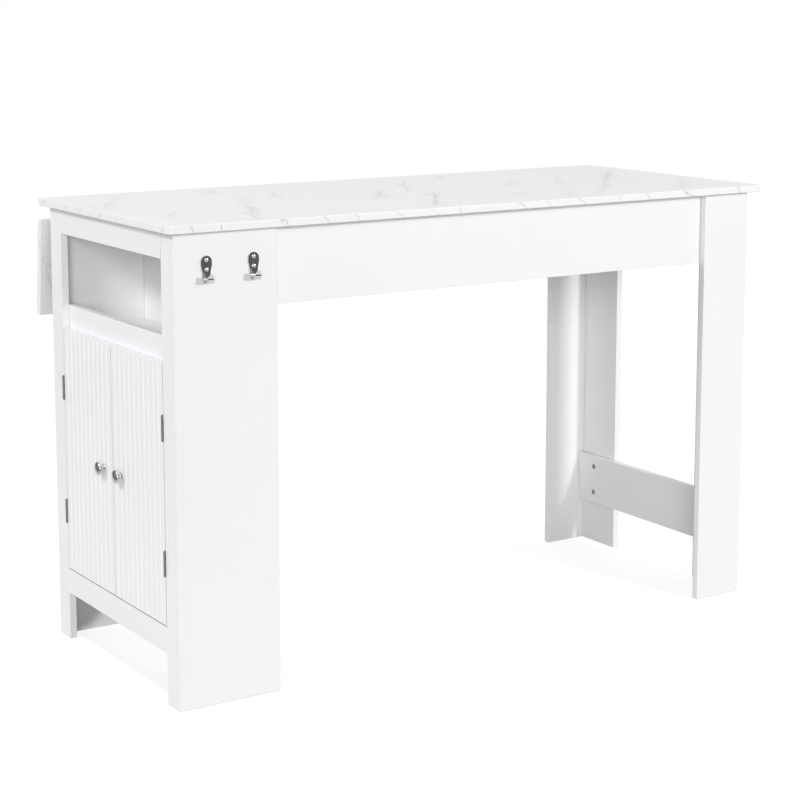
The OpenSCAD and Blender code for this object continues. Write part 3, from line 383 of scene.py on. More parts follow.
class Finish:
    """The shared start of every finish: a material with its shader and its coordinates."""

    def __init__(self, name: str) -> None:
        """Makes a material with a plain Principled shader.

        Args:
            name: The material's name.
        """
        self.material = bpy.data.materials.new(name)
        self.graph = ShaderGraph.emptied(self.material)
        self.shader = self.graph.add("ShaderNodeBsdfPrincipled")
        self.graph.add("ShaderNodeOutputMaterial", Surface=self.shader.outputs["BSDF"])
        coordinates = self.graph.add("ShaderNodeTexCoord").outputs
        self.place, self.normal = coordinates["Object"], coordinates["Normal"]

    def feed(self, **values: object) -> Material:
        """Sets or links inputs of the shader.

        Args:
            **values: Numbers, colours or sockets, by the inputs' names with _ for a space.

        Returns:
            The material.
        """
        for name, value in values.items():
            self.graph.feed(self.shader.inputs[name.replace("_", " ")], value)
        return self.material


@dataclass(frozen=True)
class PaintedBoard:
    """White satin lacquer on board, faintly uneven where the spray has settled, with painted shade
    darkening its narrow gaps and inside corners.
    """

    name: str
    colour: Colour = (0.9, 0.9, 0.898)
    shade: Colour = (0.872, 0.872, 0.872)
    rough_low: float = 0.36
    rough_high: float = 0.46
    relief_scale: float = 420.0
    specular: float = 0.35
    # Painted shade in narrow gaps and inside corners: its colour, the occlusion's reach and
    # samples, and the occlusion range over which it fades out.
    joint: Colour = (0.38, 0.38, 0.38)
    gap_shade_reach: float = 0.005
    gap_shade_samples: int = 4
    gap_shade_open: Tuple[float, float] = (0.12, 0.5)

    def build(self, effects: Effects) -> Material:
        """Builds the material.

        Args:
            effects: The shared groups.

        Returns:
            The material.
        """
        finish = Finish(self.name)
        g, place = finish.graph, finish.place
        cloud = effects.tone.place(g, Vector=place, Scale=5.0, Low=0.0, High=0.35)
        painted = g.mix(cloud["Value"], self.colour, self.shade)
        # Painted shade: ambient occlusion darkens the paint in narrow gaps and tight corners, where
        # shade falls.
        occlusion = g.add("ShaderNodeAmbientOcclusion", samples=self.gap_shade_samples,
                       Distance=self.gap_shade_reach)
        gap_shade_share = g.step(occlusion.outputs["AO"], *self.gap_shade_open, 1.0, 0.0)
        rough = effects.tone.place(g, Vector=place, Scale=22.0, Low=self.rough_low,
                                   High=self.rough_high)
        relief = effects.relief.place(g, Vector=place, Scale=self.relief_scale, Strength=0.12,
                                      Distance=0.00008)
        return finish.feed(Base_Color=g.mix(gap_shade_share, painted, self.joint), Roughness=rough["Value"],
                           Normal=relief["Normal"], Specular_IOR_Level=self.specular)


@dataclass(frozen=True)
class Vein:
    """One long vein of the printed stone: its middle, its lean from X, half its length, its
    strength.
    """

    x: float
    y: float
    lean_deg: float
    reach: float
    strength: float


@dataclass(frozen=True)
class MarbleLaminate:
    """White laminate printed as marble: long leaning grey veins with finer ones beside them, and a
    taped edge with short slanted veins.
    """

    name: str
    turn_deg: float = 0.0
    pivot: Point = (0.0, 0.0, 0.0)
    print_shift: Point = (0.0, 0.0, 0.0)
    white: Colour = (0.862, 0.868, 0.893)
    cloud: Colour = (0.82, 0.828, 0.855)
    vein: Colour = (0.4, 0.41, 0.45)
    # Painted shade on the underside of the slab and the leaf, and the heights in the laminate's
    # plane below which it is drawn.
    underside_shade: Colour = (0.78, 0.78, 0.785)
    underside_shade_heights: Tuple[float, float] = (0.9002, 0.9006)
    specular: float = 0.35
    upright: Tuple[float, float] = (0.55, 0.8)
    vein_share: float = 0.8
    branch_share: float = 0.5
    mist: Tuple[float, float] = (0.6, 0.25)
    fine_scale: float = 22.0
    fine_width: float = 0.035
    comb_deg: float = 60.0
    comb: Point = (3.2, 1.0, 1.0)
    edge_white: Colour = (0.9, 0.9, 0.895)
    edge_pitch: float = 0.0837
    edge_slant: float = 0.9
    edge_diagonal: float = 0.97
    edge_hair: float = 0.016
    edge_haze: float = 0.08
    edge_turns: float = 40.0
    halo: float = 0.012
    veins: Tuple[Vein, ...] = (
        Vein(-0.7, 0.05, 70.0, 0.06, 0.5), Vein(-0.63, 0.12, 59.0, 0.17, 0.55),
        Vein(-0.62, -0.13, 57.0, 0.07, 0.5), Vein(-0.465, -0.16, 65.0, 0.19, 1.0),
        Vein(-0.38, 0.03, 66.0, 0.11, 0.45), Vein(-0.36, 0.2, 61.0, 0.06, 0.55),
        Vein(-0.28, 0.09, 64.0, 0.09, 0.65), Vein(-0.1, -0.04, 55.0, 0.14, 0.65),
        Vein(-0.045, -0.17, 57.0, 0.19, 1.0), Vein(0.055, 0.1, 62.0, 0.19, 0.75),
        Vein(0.215, 0.2, 65.0, 0.07, 0.65), Vein(0.265, 0.01, 49.0, 0.11, 0.65),
        Vein(0.155, -0.19, 58.0, 0.07, 0.6), Vein(0.415, 0.025, 56.0, 0.18, 0.5),
        Vein(0.485, -0.055, 49.0, 0.36, 0.95), Vein(0.41, -0.15, 50.0, 0.07, 0.6),
        Vein(0.58, -0.2, 46.0, 0.14, 0.5), Vein(0.24, -0.24, 45.0, 0.08, 0.45))

    def build(self, effects: Effects) -> Material:
        """Builds the material.

        Args:
            effects: The shared groups.

        Returns:
            The material.
        """
        finish = Finish(self.name)
        g = finish.graph
        flat = self._laid_flat(g, finish.place, "POINT")
        facing = self._laid_flat(g, finish.normal, "NORMAL")
        line, near = self._long_veins(g, effects, flat)
        combed = g.add("ShaderNodeMapping", vector_type="TEXTURE", Vector=flat, Scale=self.comb,
                       Rotation=(0.0, 0.0, math.radians(self.comb_deg)))
        fine = effects.veins.place(g, Vector=combed.outputs["Vector"], Scale=self.fine_scale,
                                   Width=self.fine_width)
        branches = g.math("MULTIPLY", g.math("MULTIPLY", fine["Line"], near), self.branch_share)
        drawn = g.math("MAXIMUM", line, branches)
        misty = g.math("MULTIPLY", fine["Cloud"], g.math("MULTIPLY_ADD", near, *self.mist))
        # Painted shade: the underside is drawn darker, standing in for the shade beneath the slab
        # and the leaf.
        shaded_underside = g.step(g.axes(flat)[2], *self.underside_shade_heights, 1.0, 0.0)
        face = g.mix(shaded_underside, g.mix(misty, self.white, self.cloud), self.underside_shade)
        face = g.mix(g.math("MULTIPLY", drawn, self.vein_share), face, self.vein)
        edge = g.mix(self._edge_veins(g, flat), self.edge_white, self.vein)
        upright = g.step(g.math("ABSOLUTE", g.axes(facing)[2]), *self.upright)
        rough = effects.tone.place(g, Vector=flat, Scale=14.0, Low=0.3, High=0.38)
        relief = effects.relief.place(g, Vector=flat, Scale=700.0, Strength=0.06, Distance=0.00005)
        return finish.feed(Base_Color=g.mix(upright, edge, face), Roughness=rough["Value"],
                           Normal=relief["Normal"], Specular_IOR_Level=self.specular)

    def _laid_flat(self, g: ShaderGraph, source: Socket, kind: str) -> Socket:
        """Turns coordinates of the hanging leaf back to the raised leaf's plane.

        Args:
            g: The material's graph.
            source: The coordinates or normals to turn.
            kind: The mapping's type, POINT or NORMAL.

        Returns:
            The turned socket.
        """
        lean = math.radians(self.turn_deg)
        turn = Matrix.Rotation(lean, 4, "X")
        rest = Vector(self.pivot) - turn @ Vector(self.pivot) + Vector(self.print_shift)
        node = g.add("ShaderNodeMapping", vector_type=kind, Vector=source,
                     Rotation=(lean, 0.0, 0.0))
        if kind == "POINT":
            g.feed(node.inputs["Location"], rest)
        return node.outputs["Vector"]

    def _long_veins(self, g: ShaderGraph, effects: Effects, flat: Socket) -> Tuple[Socket, Socket]:
        """Draws every long vein.

        Args:
            g: The material's graph.
            effects: The shared groups.
            flat: The laminate's own plane.

        Returns:
            The mask of the veins and the mask of their surroundings.
        """
        swing = g.math("MULTIPLY_ADD", g.noise(flat, 9.0), 2.0, -1.0)
        jag = g.math("MULTIPLY_ADD", g.noise(flat, 26.0, 3.0, 0.6), 1.1, -0.55)
        wobble = g.math("ADD", swing, jag)
        strokes = [effects.stroke.place(g, Vector=flat, Wobble=wobble, Strength=vein.strength,
                                        Location=(vein.x, vein.y, 0.0),
                                        Rotation=(0.0, 0.0, math.radians(vein.lean_deg)),
                                        Scale=(vein.reach, self.halo, 1.0))
                   for vein in self.veins]
        broken = g.step(g.noise(flat, 26.0), 0.36, 0.62, 0.3, 1.0)
        return (g.math("MULTIPLY", self._strongest(g, strokes, "Line"), broken),
                self._strongest(g, strokes, "Near"))

    @staticmethod
    def _strongest(g: ShaderGraph, strokes: Sequence[Sockets], name: str) -> Socket:
        """Takes the highest value of all strokes.

        Args:
            g: The material's graph.
            strokes: The outputs of each stroke.
            name: Which of the outputs to compare.

        Returns:
            The highest value.
        """
        best = strokes[0][name]
        for stroke in strokes[1:]:
            best = g.math("MAXIMUM", best, stroke[name])
        return best

    def _edge_veins(self, g: ShaderGraph, flat: Socket) -> Socket:
        """Draws the edge tape's veins, which repeat along the edge.

        Args:
            g: The material's graph.
            flat: The laminate's own plane.

        Returns:
            The veins' mask.
        """
        x, y, z = g.axes(flat)
        along = g.math("MULTIPLY_ADD", y, self.edge_diagonal, x)
        bend = g.math("MULTIPLY", g.noise(flat, 40.0, 4.0, 0.65), 0.03)
        wobble = g.math("MULTIPLY_ADD", g.noise(flat, 5.0, 1.0), 0.22, bend)
        leaning = g.math("MULTIPLY_ADD", z, self.edge_slant, along)
        turn = g.math("DIVIDE", g.math("ADD", leaning, wobble), self.edge_pitch)
        share = g.math("FRACT", g.math("ADD", turn, self.edge_turns))
        away = g.math("ABSOLUTE", g.math("SUBTRACT", share, 0.5))
        hair = g.step(away, 0.0, self.edge_hair, 1.0, 0.0)
        haze = g.step(away, 0.0, self.edge_haze, 0.16, 0.0)
        strength = g.step(g.noise(flat, 11.0), 0.4, 0.62, 0.06, 0.75)
        return g.math("MULTIPLY", g.math("MAXIMUM", hair, haze), strength)


@dataclass(frozen=True)
class PlatedMetal:
    """Plated steel with fine brushing and slightly cloudy plating."""

    name: str
    colour: Colour
    dull: Colour
    rough_low: float
    rough_high: float

    def build(self, effects: Effects) -> Material:
        """Builds the material.

        Args:
            effects: The shared groups.

        Returns:
            The material.
        """
        finish = Finish(self.name)
        g, place = finish.graph, finish.place
        cloud = effects.tone.place(g, Vector=place, Scale=140.0, Low=0.0, High=0.6)
        brushed = effects.brushing.place(g, Vector=place, Low=self.rough_low, High=self.rough_high)
        return finish.feed(Base_Color=g.mix(cloud["Value"], self.colour, self.dull), Metallic=1.0,
                           Roughness=brushed["Roughness"], Normal=brushed["Normal"])


@dataclass(frozen=True)
class DowelWood:
    """Bare turned beech with short darker flecks."""

    name: str
    colour: Colour = (0.62, 0.42, 0.23)
    fleck: Colour = (0.4, 0.24, 0.12)
    grain: Point = (60.0, 60.0, 500.0)
    rough: float = 0.62

    def build(self, effects: Effects) -> Material:
        """Builds the material.

        Args:
            effects: The shared groups.

        Returns:
            The material.
        """
        finish = Finish(self.name)
        g = finish.graph
        stretched = g.add("ShaderNodeMapping", Vector=finish.place, Scale=self.grain).outputs[0]
        flecks = g.step(g.noise(stretched, 1.0, 4.0, 0.6), 0.45, 0.75)
        relief = effects.relief.place(g, Vector=stretched, Scale=2.0, Strength=0.2, Distance=0.0001)
        return finish.feed(Base_Color=g.mix(flecks, self.colour, self.fleck), Roughness=self.rough,
                           Normal=relief["Normal"])


@dataclass(frozen=True)
class Moulded:
    """A small moulded or cast piece with a fine even texture."""

    name: str
    colour: Colour
    shade: Colour
    rough: float
    relief_scale: float = 1500.0

    def build(self, effects: Effects) -> Material:
        """Builds the material.

        Args:
            effects: The shared groups.

        Returns:
            The material.
        """
        finish = Finish(self.name)
        g, place = finish.graph, finish.place
        cloud = effects.tone.place(g, Vector=place, Scale=60.0, Low=0.0, High=0.5)
        relief = effects.relief.place(g, Vector=place, Scale=self.relief_scale, Strength=0.2,
                                      Distance=0.0001)
        return finish.feed(Base_Color=g.mix(cloud["Value"], self.colour, self.shade),
                           Roughness=self.rough, Normal=relief["Normal"])


def add_object(name: str, data: bpy.types.ID) -> Object:
    """Adds an object to the scene, at the origin.

    Args:
        name: The object's name.
        data: Its mesh, lamp or camera.

    Returns:
        The object.
    """
    obj = bpy.data.objects.new(name, data)
    bpy.context.scene.collection.objects.link(obj)
    return obj


@dataclass(frozen=True)
class Recess:
    """The recess in a fastener's head: its kind, its width across and its depth."""

    drive: Drive
    width: float
    depth: float
    cross_tip: float = 0.3
    cross_mouth: float = 0.72
    cross_blade: float = 0.28

    def cutter(self, shop: Workshop) -> Object:
        """Makes the cutter, which points down along Z with its mouth at the origin.

        Args:
            shop: Makes the mesh.

        Returns:
            The cutter.
        """
        bm = bmesh.new()
        if self.drive is Drive.HEX:
            bmesh.ops.create_cone(bm, cap_ends=True, segments=6, radius1=self.width / 2,
                                  radius2=self.width / 2, depth=2 * self.depth)
        else:
            for turn in (0.0, math.pi / 2):
                made = bmesh.ops.create_cone(bm, cap_ends=True, segments=4,
                                             radius1=self.cross_tip * self.width,
                                             radius2=self.cross_mouth * self.width,
                                             depth=2 * self.depth,
                                             matrix=Matrix.Rotation(math.pi / 4, 4, "Z"))
                verts = made["verts"]
                bmesh.ops.scale(bm, vec=(1.0, self.cross_blade, 1.0), verts=verts)
                bmesh.ops.rotate(bm, cent=(0, 0, 0), matrix=Matrix.Rotation(turn, 3, "Z"),
                                 verts=verts)
        return shop.finished("recess_cutter", bm)


class Workshop:
    """Makes, shapes and places new meshes."""

    def spun(self, name: str, profile: Profile, steps: int = 64) -> Object:
        """Turns a profile round the Z axis.

        Args:
            name: The object's name.
            profile: Radius and height of each point, from the bottom to the top.
            steps: Number of faces round the axis.

        Returns:
            The turned object, at the origin.
        """
        bm = bmesh.new()
        points = [bm.verts.new((radius, 0.0, height)) for radius, height in profile]
        edges = [bm.edges.new(pair) for pair in zip(points, points[1:])]
        bmesh.ops.spin(bm, geom=points + edges, cent=(0, 0, 0), axis=(0, 0, 1), angle=2 * math.pi,
                       steps=steps, use_merge=True, use_duplicate=False)
        bmesh.ops.remove_doubles(bm, verts=bm.verts, dist=1e-6)
        bmesh.ops.recalc_face_normals(bm, faces=bm.faces)
        return self.finished(name, bm, smooth=True)

    def finished(self, name: str, bm: bmesh.types.BMesh, smooth: bool = False) -> Object:
        """Makes an object of a bmesh.

        Args:
            name: The object's name.
            bm: The shape, which is freed.
            smooth: Whether its faces are shaded smooth.

        Returns:
            The new object.
        """
        mesh = bpy.data.meshes.new(name)
        bm.to_mesh(mesh)
        bm.free()
        mesh.polygons.foreach_set("use_smooth", [smooth] * len(mesh.polygons))
        return add_object(name, mesh)

    def carve(self, body: Object, recess: Recess, height: float) -> None:
        """Cuts a recess into the top of a head.

        Args:
            body: The head, changed in place.
            recess: The recess.
            height: The height of its mouth.
        """
        cutter = recess.cutter(self)
        cutter.data.transform(Matrix.Translation((0.0, 0.0, height)))
        modifier = body.modifiers.new("recess", "BOOLEAN")
        modifier.operation = "DIFFERENCE"
        modifier.solver = "EXACT"
        modifier.use_self = True
        modifier.object = cutter
        bpy.context.view_layer.update()
        shaped = body.evaluated_get(bpy.context.evaluated_depsgraph_get())
        mesh = bpy.data.meshes.new_from_object(shaped)
        body.modifiers.clear()
        body.data = mesh
        bpy.data.objects.remove(cutter)

    def place(self, obj: Object, facing: Facing, at: Point) -> None:
        """Turns a piece's mesh from +Z to its facing and moves it to its place.

        Args:
            obj: The piece, whose object stays at the origin.
            facing: The direction that it stands in.
            at: Where its foot goes.
        """
        obj.data.transform(Matrix.Translation(at) @ facing.turn)
        obj.data.update()

    def joined(self, name: str, parts: Sequence[Object]) -> Object:
        """Joins several objects that sit at the origin into one.

        Args:
            name: The new object's name.
            parts: The objects, which are removed.

        Returns:
            The joined object.
        """
        bm = bmesh.new()
        for part in parts:
            bm.from_mesh(part.data)
        smooth = parts[0].data.polygons[0].use_smooth
        obj = self.finished(name, bm, smooth)
        for part in parts:
            bpy.data.objects.remove(part)
        return obj

    def fasteners(self, name: str, profile: Profile, steps: int, recess: Recess, facing: Facing,
                  spots: Sequence[Point]) -> Object:
        """Makes one piece of several equal fasteners.

        Args:
            name: The piece's name.
            profile: The outline of one, from its tip to the top of its head.
            steps: Number of faces round its axis.
            recess: The recess in its head.
            facing: The direction that the heads stand in.
            spots: Where the seat of each head goes.

        Returns:
            The piece.
        """
        parts = []
        for spot in spots:
            part = self.spun(f"{name}_part", profile, steps)
            self.carve(part, recess, profile[-1][1])
            self.place(part, facing, spot)
            parts.append(part)
        return self.joined(name, parts)


def shank(length: float, radius: float, seat_radius: float) -> list:
    """Returns the outline of a fastener, from its tip to the edge of its head's seat."""
    return [(0.0, -length), (radius, -length), (radius, 0.0), (seat_radius, 0.0)]


def dome(radius: float, foot: float, top: float, steps: int = 8) -> list:
    """Returns the outline of a low dome, from just above its foot to its middle."""
    arc = [math.pi / 2 * k / steps for k in range(1, steps)]
    return [(radius * math.cos(a), foot + (top - foot) * math.sin(a)) for a in arc] + [(0.0, top)]


@dataclass
class DoorKnobs:
    """The two mushroom knobs, with a rolled foot, a waisted neck and a softly domed cap."""

    cap_radius: float = 0.0135
    foot_radius: float = 0.007
    neck_radius: float = 0.0028
    foot_lip: float = 0.0012
    rim: float = 0.0006
    cap_thickness: float = 0.005
    projection: float = 0.018
    throat_share: float = 0.4
    waist_curve: float = 2.4
    flare_curve: float = 1.7
    nodes: Tuple[Tuple[str, str], ...] = (("knob_front", "front_door"), ("knob_back", "back_door"))

    def profile(self) -> Profile:
        """Returns the knob's outline, from its seat to the middle of its cap."""
        cap, foot, neck, tall = self.cap_radius, self.foot_radius, self.neck_radius, self.projection
        lip, throat, brim = self.foot_lip, self.throat_share * tall, tall - self.cap_thickness
        eighths = [k / 8 for k in range(1, 9)]
        seat = [(0.0, 0.0), (foot, 0.0), (foot, lip)]
        waist = [(neck + (foot - neck) * (1 - t) ** self.waist_curve, lip + (throat - lip) * t)
                 for t in eighths]
        flare = [(neck + (cap - neck - self.rim) * t ** self.flare_curve,
                  throat + (brim - throat) * t) for t in eighths]
        edge = [(cap - self.rim * (1 - math.sin(a)), brim + self.rim * (1 - math.cos(a)))
                for a in [math.pi * k / 10 for k in range(1, 10)]]
        return seat + waist + flare + edge + dome(*edge[-1], tall, 12)

    def build(self, shop: Workshop, metal: Material) -> Iterable[Object]:
        """Makes both knobs and puts them in place of their nodes.

        Args:
            shop: Makes the meshes.
            metal: Their finish.

        Returns:
            The new pieces.
        """
        made = []
        for node, body in self.nodes:
            low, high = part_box(node)
            knob = shop.spun(f"{node}_turned", self.profile())
            shop.place(knob, Facing.CABINET_END,
                       (high.x, (low.y + high.y) / 2, (low.z + high.z) / 2))
            knob.data.materials.append(metal)
            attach(knob, body)
            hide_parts(node)
            made.append(knob)
        return made


@dataclass
class HookScrews:
    """The four domed screws that hold the coat hooks, with cross recesses."""

    head_radius: float = 0.004
    head_height: float = 0.002
    rim: float = 0.0006
    recess: Recess = Recess(Drive.CROSS, 0.0052, 0.0014)
    shank_radius: float = 0.0015
    steps: int = 32
    node: str = "hook_screws"

    def build(self, shop: Workshop, metal: Material) -> Iterable[Object]:
        """Makes the screws where the node's own screws are.

        Args:
            shop: Makes the meshes.
            metal: Their finish.

        Returns:
            The new piece.
        """
        low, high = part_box(self.node)
        seat, radius = low.y + self.head_height, self.head_radius
        profile = [*shank(high.y - seat, self.shank_radius, radius), (radius, self.rim),
                   *dome(radius, self.rim, self.head_height)]
        spots = [(x, seat, z) for x in (low.x + radius, high.x - radius)
                 for z in (low.z + radius, high.z - radius)]
        piece = shop.fasteners("hook_screws_crossed", profile, self.steps, self.recess,
                               Facing.FRONT, spots)
        piece.data.materials.append(metal)
        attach(piece, "root")
        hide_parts(self.node)
        return [piece]


@dataclass
class StretcherBolts:
    """The four domed bolts of the stretcher, each with a flange and a hex socket."""

    flange_radius: float = 0.006
    flange_edge: float = 0.0005
    flange_top: float = 0.0009
    dome_share: float = 0.8
    dome_foot: float = 0.0011
    fillet: float = 0.0004
    head_height: float = 0.003
    recess: Recess = Recess(Drive.HEX, 0.0042, 0.0018)
    shank_radius: float = 0.003
    steps: int = 40
    node: str = "stretcher_bolts"

    def build(self, shop: Workshop, metal: Material) -> Iterable[Object]:
        """Makes the bolts where the node's own bolts are.

        Args:
            shop: Makes the meshes.
            metal: Their finish.

        Returns:
            The new piece.
        """
        low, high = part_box(self.node)
        seat, radius = low.x + self.head_height, self.flange_radius
        inner = radius * self.dome_share
        profile = [*shank(high.x - seat, self.shank_radius, radius), (radius, self.flange_edge),
                   (inner + self.fillet, self.flange_top), (inner, self.dome_foot),
                   *dome(inner, self.dome_foot, self.head_height)]
        spots = [(seat, y, z) for y in (low.y + radius, high.y - radius)
                 for z in (low.z + radius, high.z - radius)]
        piece = shop.fasteners("stretcher_bolts_socketed", profile, self.steps, self.recess,
                               Facing.CABINET_END, spots)
        piece.data.materials.append(metal)
        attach(piece, "root")
        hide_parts(self.node)
        return [piece]


def aimed_lamp(lamp: bpy.types.Light, away: Vector) -> Object:
    """Adds a lamp that shines against the given direction.

    Args:
        lamp: The lamp, which also gives the object's name.
        away: The direction from what it lights to the lamp.

    Returns:
        The lamp's object.
    """
    obj = add_object(lamp.name, lamp)
    obj.rotation_mode = "QUATERNION"
    obj.rotation_quaternion = away.to_track_quat("Z", "Y")
    return obj


def sheet(name: str, width: float, height: float, matrix: Matrix) -> Tuple[Object, ShaderGraph]:
    """Makes a flat rectangle with a material that has no nodes yet.

    Args:
        name: The name of the object and its material.
        width: Its size along X before it is placed.
        height: Its size along Y before it is placed.
        matrix: Its place.

    Returns:
        The object and its material's graph.
    """
    bm = bmesh.new()
    bmesh.ops.create_grid(bm, x_segments=1, y_segments=1, size=0.5)
    bmesh.ops.scale(bm, vec=(width, height, 1.0), verts=bm.verts)
    bmesh.ops.transform(bm, matrix=matrix, verts=bm.verts)
    mesh = bpy.data.meshes.new(name)
    bm.to_mesh(mesh)
    bm.free()
    material = bpy.data.materials.new(name)
    mesh.materials.append(material)
    return add_object(name, mesh), ShaderGraph.emptied(material)


@dataclass(frozen=True)
class SoftBox:
    """A square soft lamp that lights the near and far end alike."""

    name: str
    place: Point
    aim: Point
    size: float
    strength: float

    def build(self) -> None:
        """Makes the lamp, which the camera doesn't see."""
        lamp = bpy.data.lights.new(self.name, "AREA")
        lamp.size = self.size
        lamp.energy = self.strength * math.pi ** 2
        g = ShaderGraph.emptied(lamp)
        even = g.add("ShaderNodeLightFalloff", Strength=1.0)
        glow = g.add("ShaderNodeEmission", Strength=even.outputs["Constant"])
        g.add("ShaderNodeOutputLight", Surface=glow.outputs[0])
        obj = aimed_lamp(lamp, Vector(self.place) - Vector(self.aim))
        obj.location = self.place
        obj.visible_camera = False


class Task(Enum):
    """What a dark card is there for."""

    REFLECTED = "reflected"
    REFLECTED_FLOOR = "reflected, lying on the floor"
    SHADING = "shading"


@dataclass(frozen=True)
class Flag:
    """A dark card out of the camera's sight, which metal reflects or which keeps the lamps off."""

    name: str
    place: Point
    width: float
    height: float
    task: Task = Task.REFLECTED
    tone: float = 0.13

    @property
    def towards(self) -> Vector:
        """The direction that the card faces: out from the object, up, or to the cabinet's end."""
        fixed = {Task.REFLECTED_FLOOR: (0.0, 0.0, 1.0), Task.SHADING: (-1.0, 0.0, 0.0)}
        return Vector(fixed.get(self.task, self.place))

    def build(self) -> None:
        """Makes the card."""
        turn = self.towards.to_track_quat("Z", "Y").to_matrix().to_4x4()
        card, g = sheet(self.name, self.width, self.height, Matrix.Translation(self.place) @ turn)
        dark = g.add("ShaderNodeEmission", Color=(self.tone,) * 3)
        g.add("ShaderNodeOutputMaterial", Surface=dark.outputs[0])
        card.visible_camera = card.visible_diffuse = card.visible_transmission = False
        card.visible_shadow = self.task is Task.SHADING
        card.visible_glossy = self.task is not Task.SHADING


@dataclass
class Studio:
    """A white floor and surround, two soft lamps, a distant fill and dark cards."""

    horizon: float = 0.1
    zenith: float = 0.19
    left_glow: float = 0.47
    rear_glow: float = 0.8
    floor_side: float = 28.0
    floor_drop: float = 0.0004
    floor_tone: float = 0.45
    floor_glow: float = 0.8
    floor_white: float = 0.3
    key: SoftBox = SoftBox("key_lamp", (1.1, -2.4, 1.45), (-0.2, 0.0, 0.5), 0.27, 0.415)
    side: SoftBox = SoftBox("side_lamp", (-2.3, -0.3, 2.0), (-0.5, 0.0, 0.8), 0.3, 0.36)
    fill_towards: Point = (-0.53, -0.83, 0.2)
    fill_strength: float = 1.05
    fill_angle_deg: float = 20.0
    flags: Tuple[Flag, ...] = (
        Flag("front_flag", (2.6, -5.2, 0.6), 4.6, 3.4),
        Flag("back_flag", (-3.4, 4.4, 0.6), 3.0, 3.4),
        Flag("left_flag", (-5.4, 0.8, 0.6), 3.4, 3.2, tone=0.3),
        Flag("left_floor_flag", (-3.4, 1.6, 0.003), 4.2, 6.0, Task.REFLECTED_FLOOR, 0.3),
        Flag("front_floor_flag", (1.6, -3.4, 0.003), 4.4, 4.4, Task.REFLECTED_FLOOR),
        Flag("base_flag", (-0.681, -0.01, 0.054), 0.5, 0.08, Task.SHADING))

    def build(self) -> None:
        """Makes the world, the floor, the lamps and the cards."""
        self._world()
        self._floor()
        self.key.build()
        self.side.build()
        self._fill()
        for flag in self.flags:
            flag.build()

    def _world(self) -> None:
        """Makes the surround: white where it is seen, with its own light from each side."""
        world = bpy.data.worlds.new("surround")
        bpy.context.scene.world = world
        g = ShaderGraph.emptied(world)
        x, y, z = g.axes(g.add("ShaderNodeTexCoord").outputs["Generated"])
        level = g.math("MULTIPLY_ADD", g.math("ABSOLUTE", z), self.zenith - self.horizon,
                       self.horizon)
        for axis, glow in ((x, -self.left_glow), (x, self.rear_glow), (y, self.rear_glow)):
            level = g.math("ADD", level, g.math("MAXIMUM", g.math("MULTIPLY", axis, glow), 0.0))
        light = g.add("ShaderNodeBackground", Color=WHITE, Strength=level)
        plain = g.add("ShaderNodeBackground", Color=WHITE)
        g.add("ShaderNodeOutputWorld",
              Surface=self._where_seen(g, light.outputs[0], plain.outputs[0]))

    @staticmethod
    def _where_seen(g: ShaderGraph, hidden: Socket, seen: Socket) -> Socket:
        """Shows one shader to the camera, gloss and glass, and the other to plain light.

        Args:
            g: The graph.
            hidden: The shader that only lights.
            seen: The shader that is seen.

        Returns:
            The mixed shader.
        """
        paths = g.add("ShaderNodeLightPath").outputs
        share = g.math("MAXIMUM", paths["Is Camera Ray"], paths["Is Glossy Ray"])
        share = g.math("MAXIMUM", share, paths["Is Transmission Ray"])
        return g.fill("ShaderNodeMixShader", share, hidden, seen)

    def _floor(self) -> None:
        """Makes the floor, white to the camera but for a faint shadow."""
        floor, g = sheet("floor", self.floor_side, self.floor_side,
                         Matrix.Translation((0.0, 0.0, -self.floor_drop)))
        bounce = g.add("ShaderNodeBsdfDiffuse", Color=(self.floor_tone,) * 3)
        shown = g.add("ShaderNodeBsdfDiffuse", Color=(self.floor_white,) * 3)
        glow = g.add("ShaderNodeEmission", Strength=self.floor_glow)
        lit = g.fill("ShaderNodeAddShader", shown.outputs[0], glow.outputs[0])
        g.add("ShaderNodeOutputMaterial", Surface=self._where_seen(g, bounce.outputs[0], lit))

    def _fill(self) -> None:
        """Makes the broad distant fill from the camera's side."""
        lamp = bpy.data.lights.new("fill_lamp", "SUN")
        lamp.energy = self.fill_strength
        lamp.angle = math.radians(self.fill_angle_deg)
        aimed_lamp(lamp, Vector(self.fill_towards))


@dataclass(frozen=True)
class PhotoCamera:
    """The photograph's viewpoint, with a small shift in place of its large one."""

    place: Point = (-2.262, -3.454, 1.329)
    yaw_deg: float = 32.9
    pitch_deg: float = 8.33
    focal_px: float = 1964.0
    picture_px: float = 800.0
    sensor_mm: float = 36.0
    shift: Tuple[float, float] = (0.0026, -0.15)
    clip: Tuple[float, float] = (0.1, 60.0)

    def build(self) -> None:
        """Makes the camera and sets it as the scene's own."""
        data = bpy.data.cameras.new("photo_camera")
        data.sensor_width = self.sensor_mm
        data.lens = self.focal_px / self.picture_px * self.sensor_mm
        data.shift_x, data.shift_y = self.shift
        data.clip_start, data.clip_end = self.clip
        obj = add_object("photo_camera", data)
        obj.location = self.place
        obj.rotation_euler = (math.radians(90.0 - self.pitch_deg), 0.0, math.radians(-self.yaw_deg))
        bpy.context.scene.camera = obj


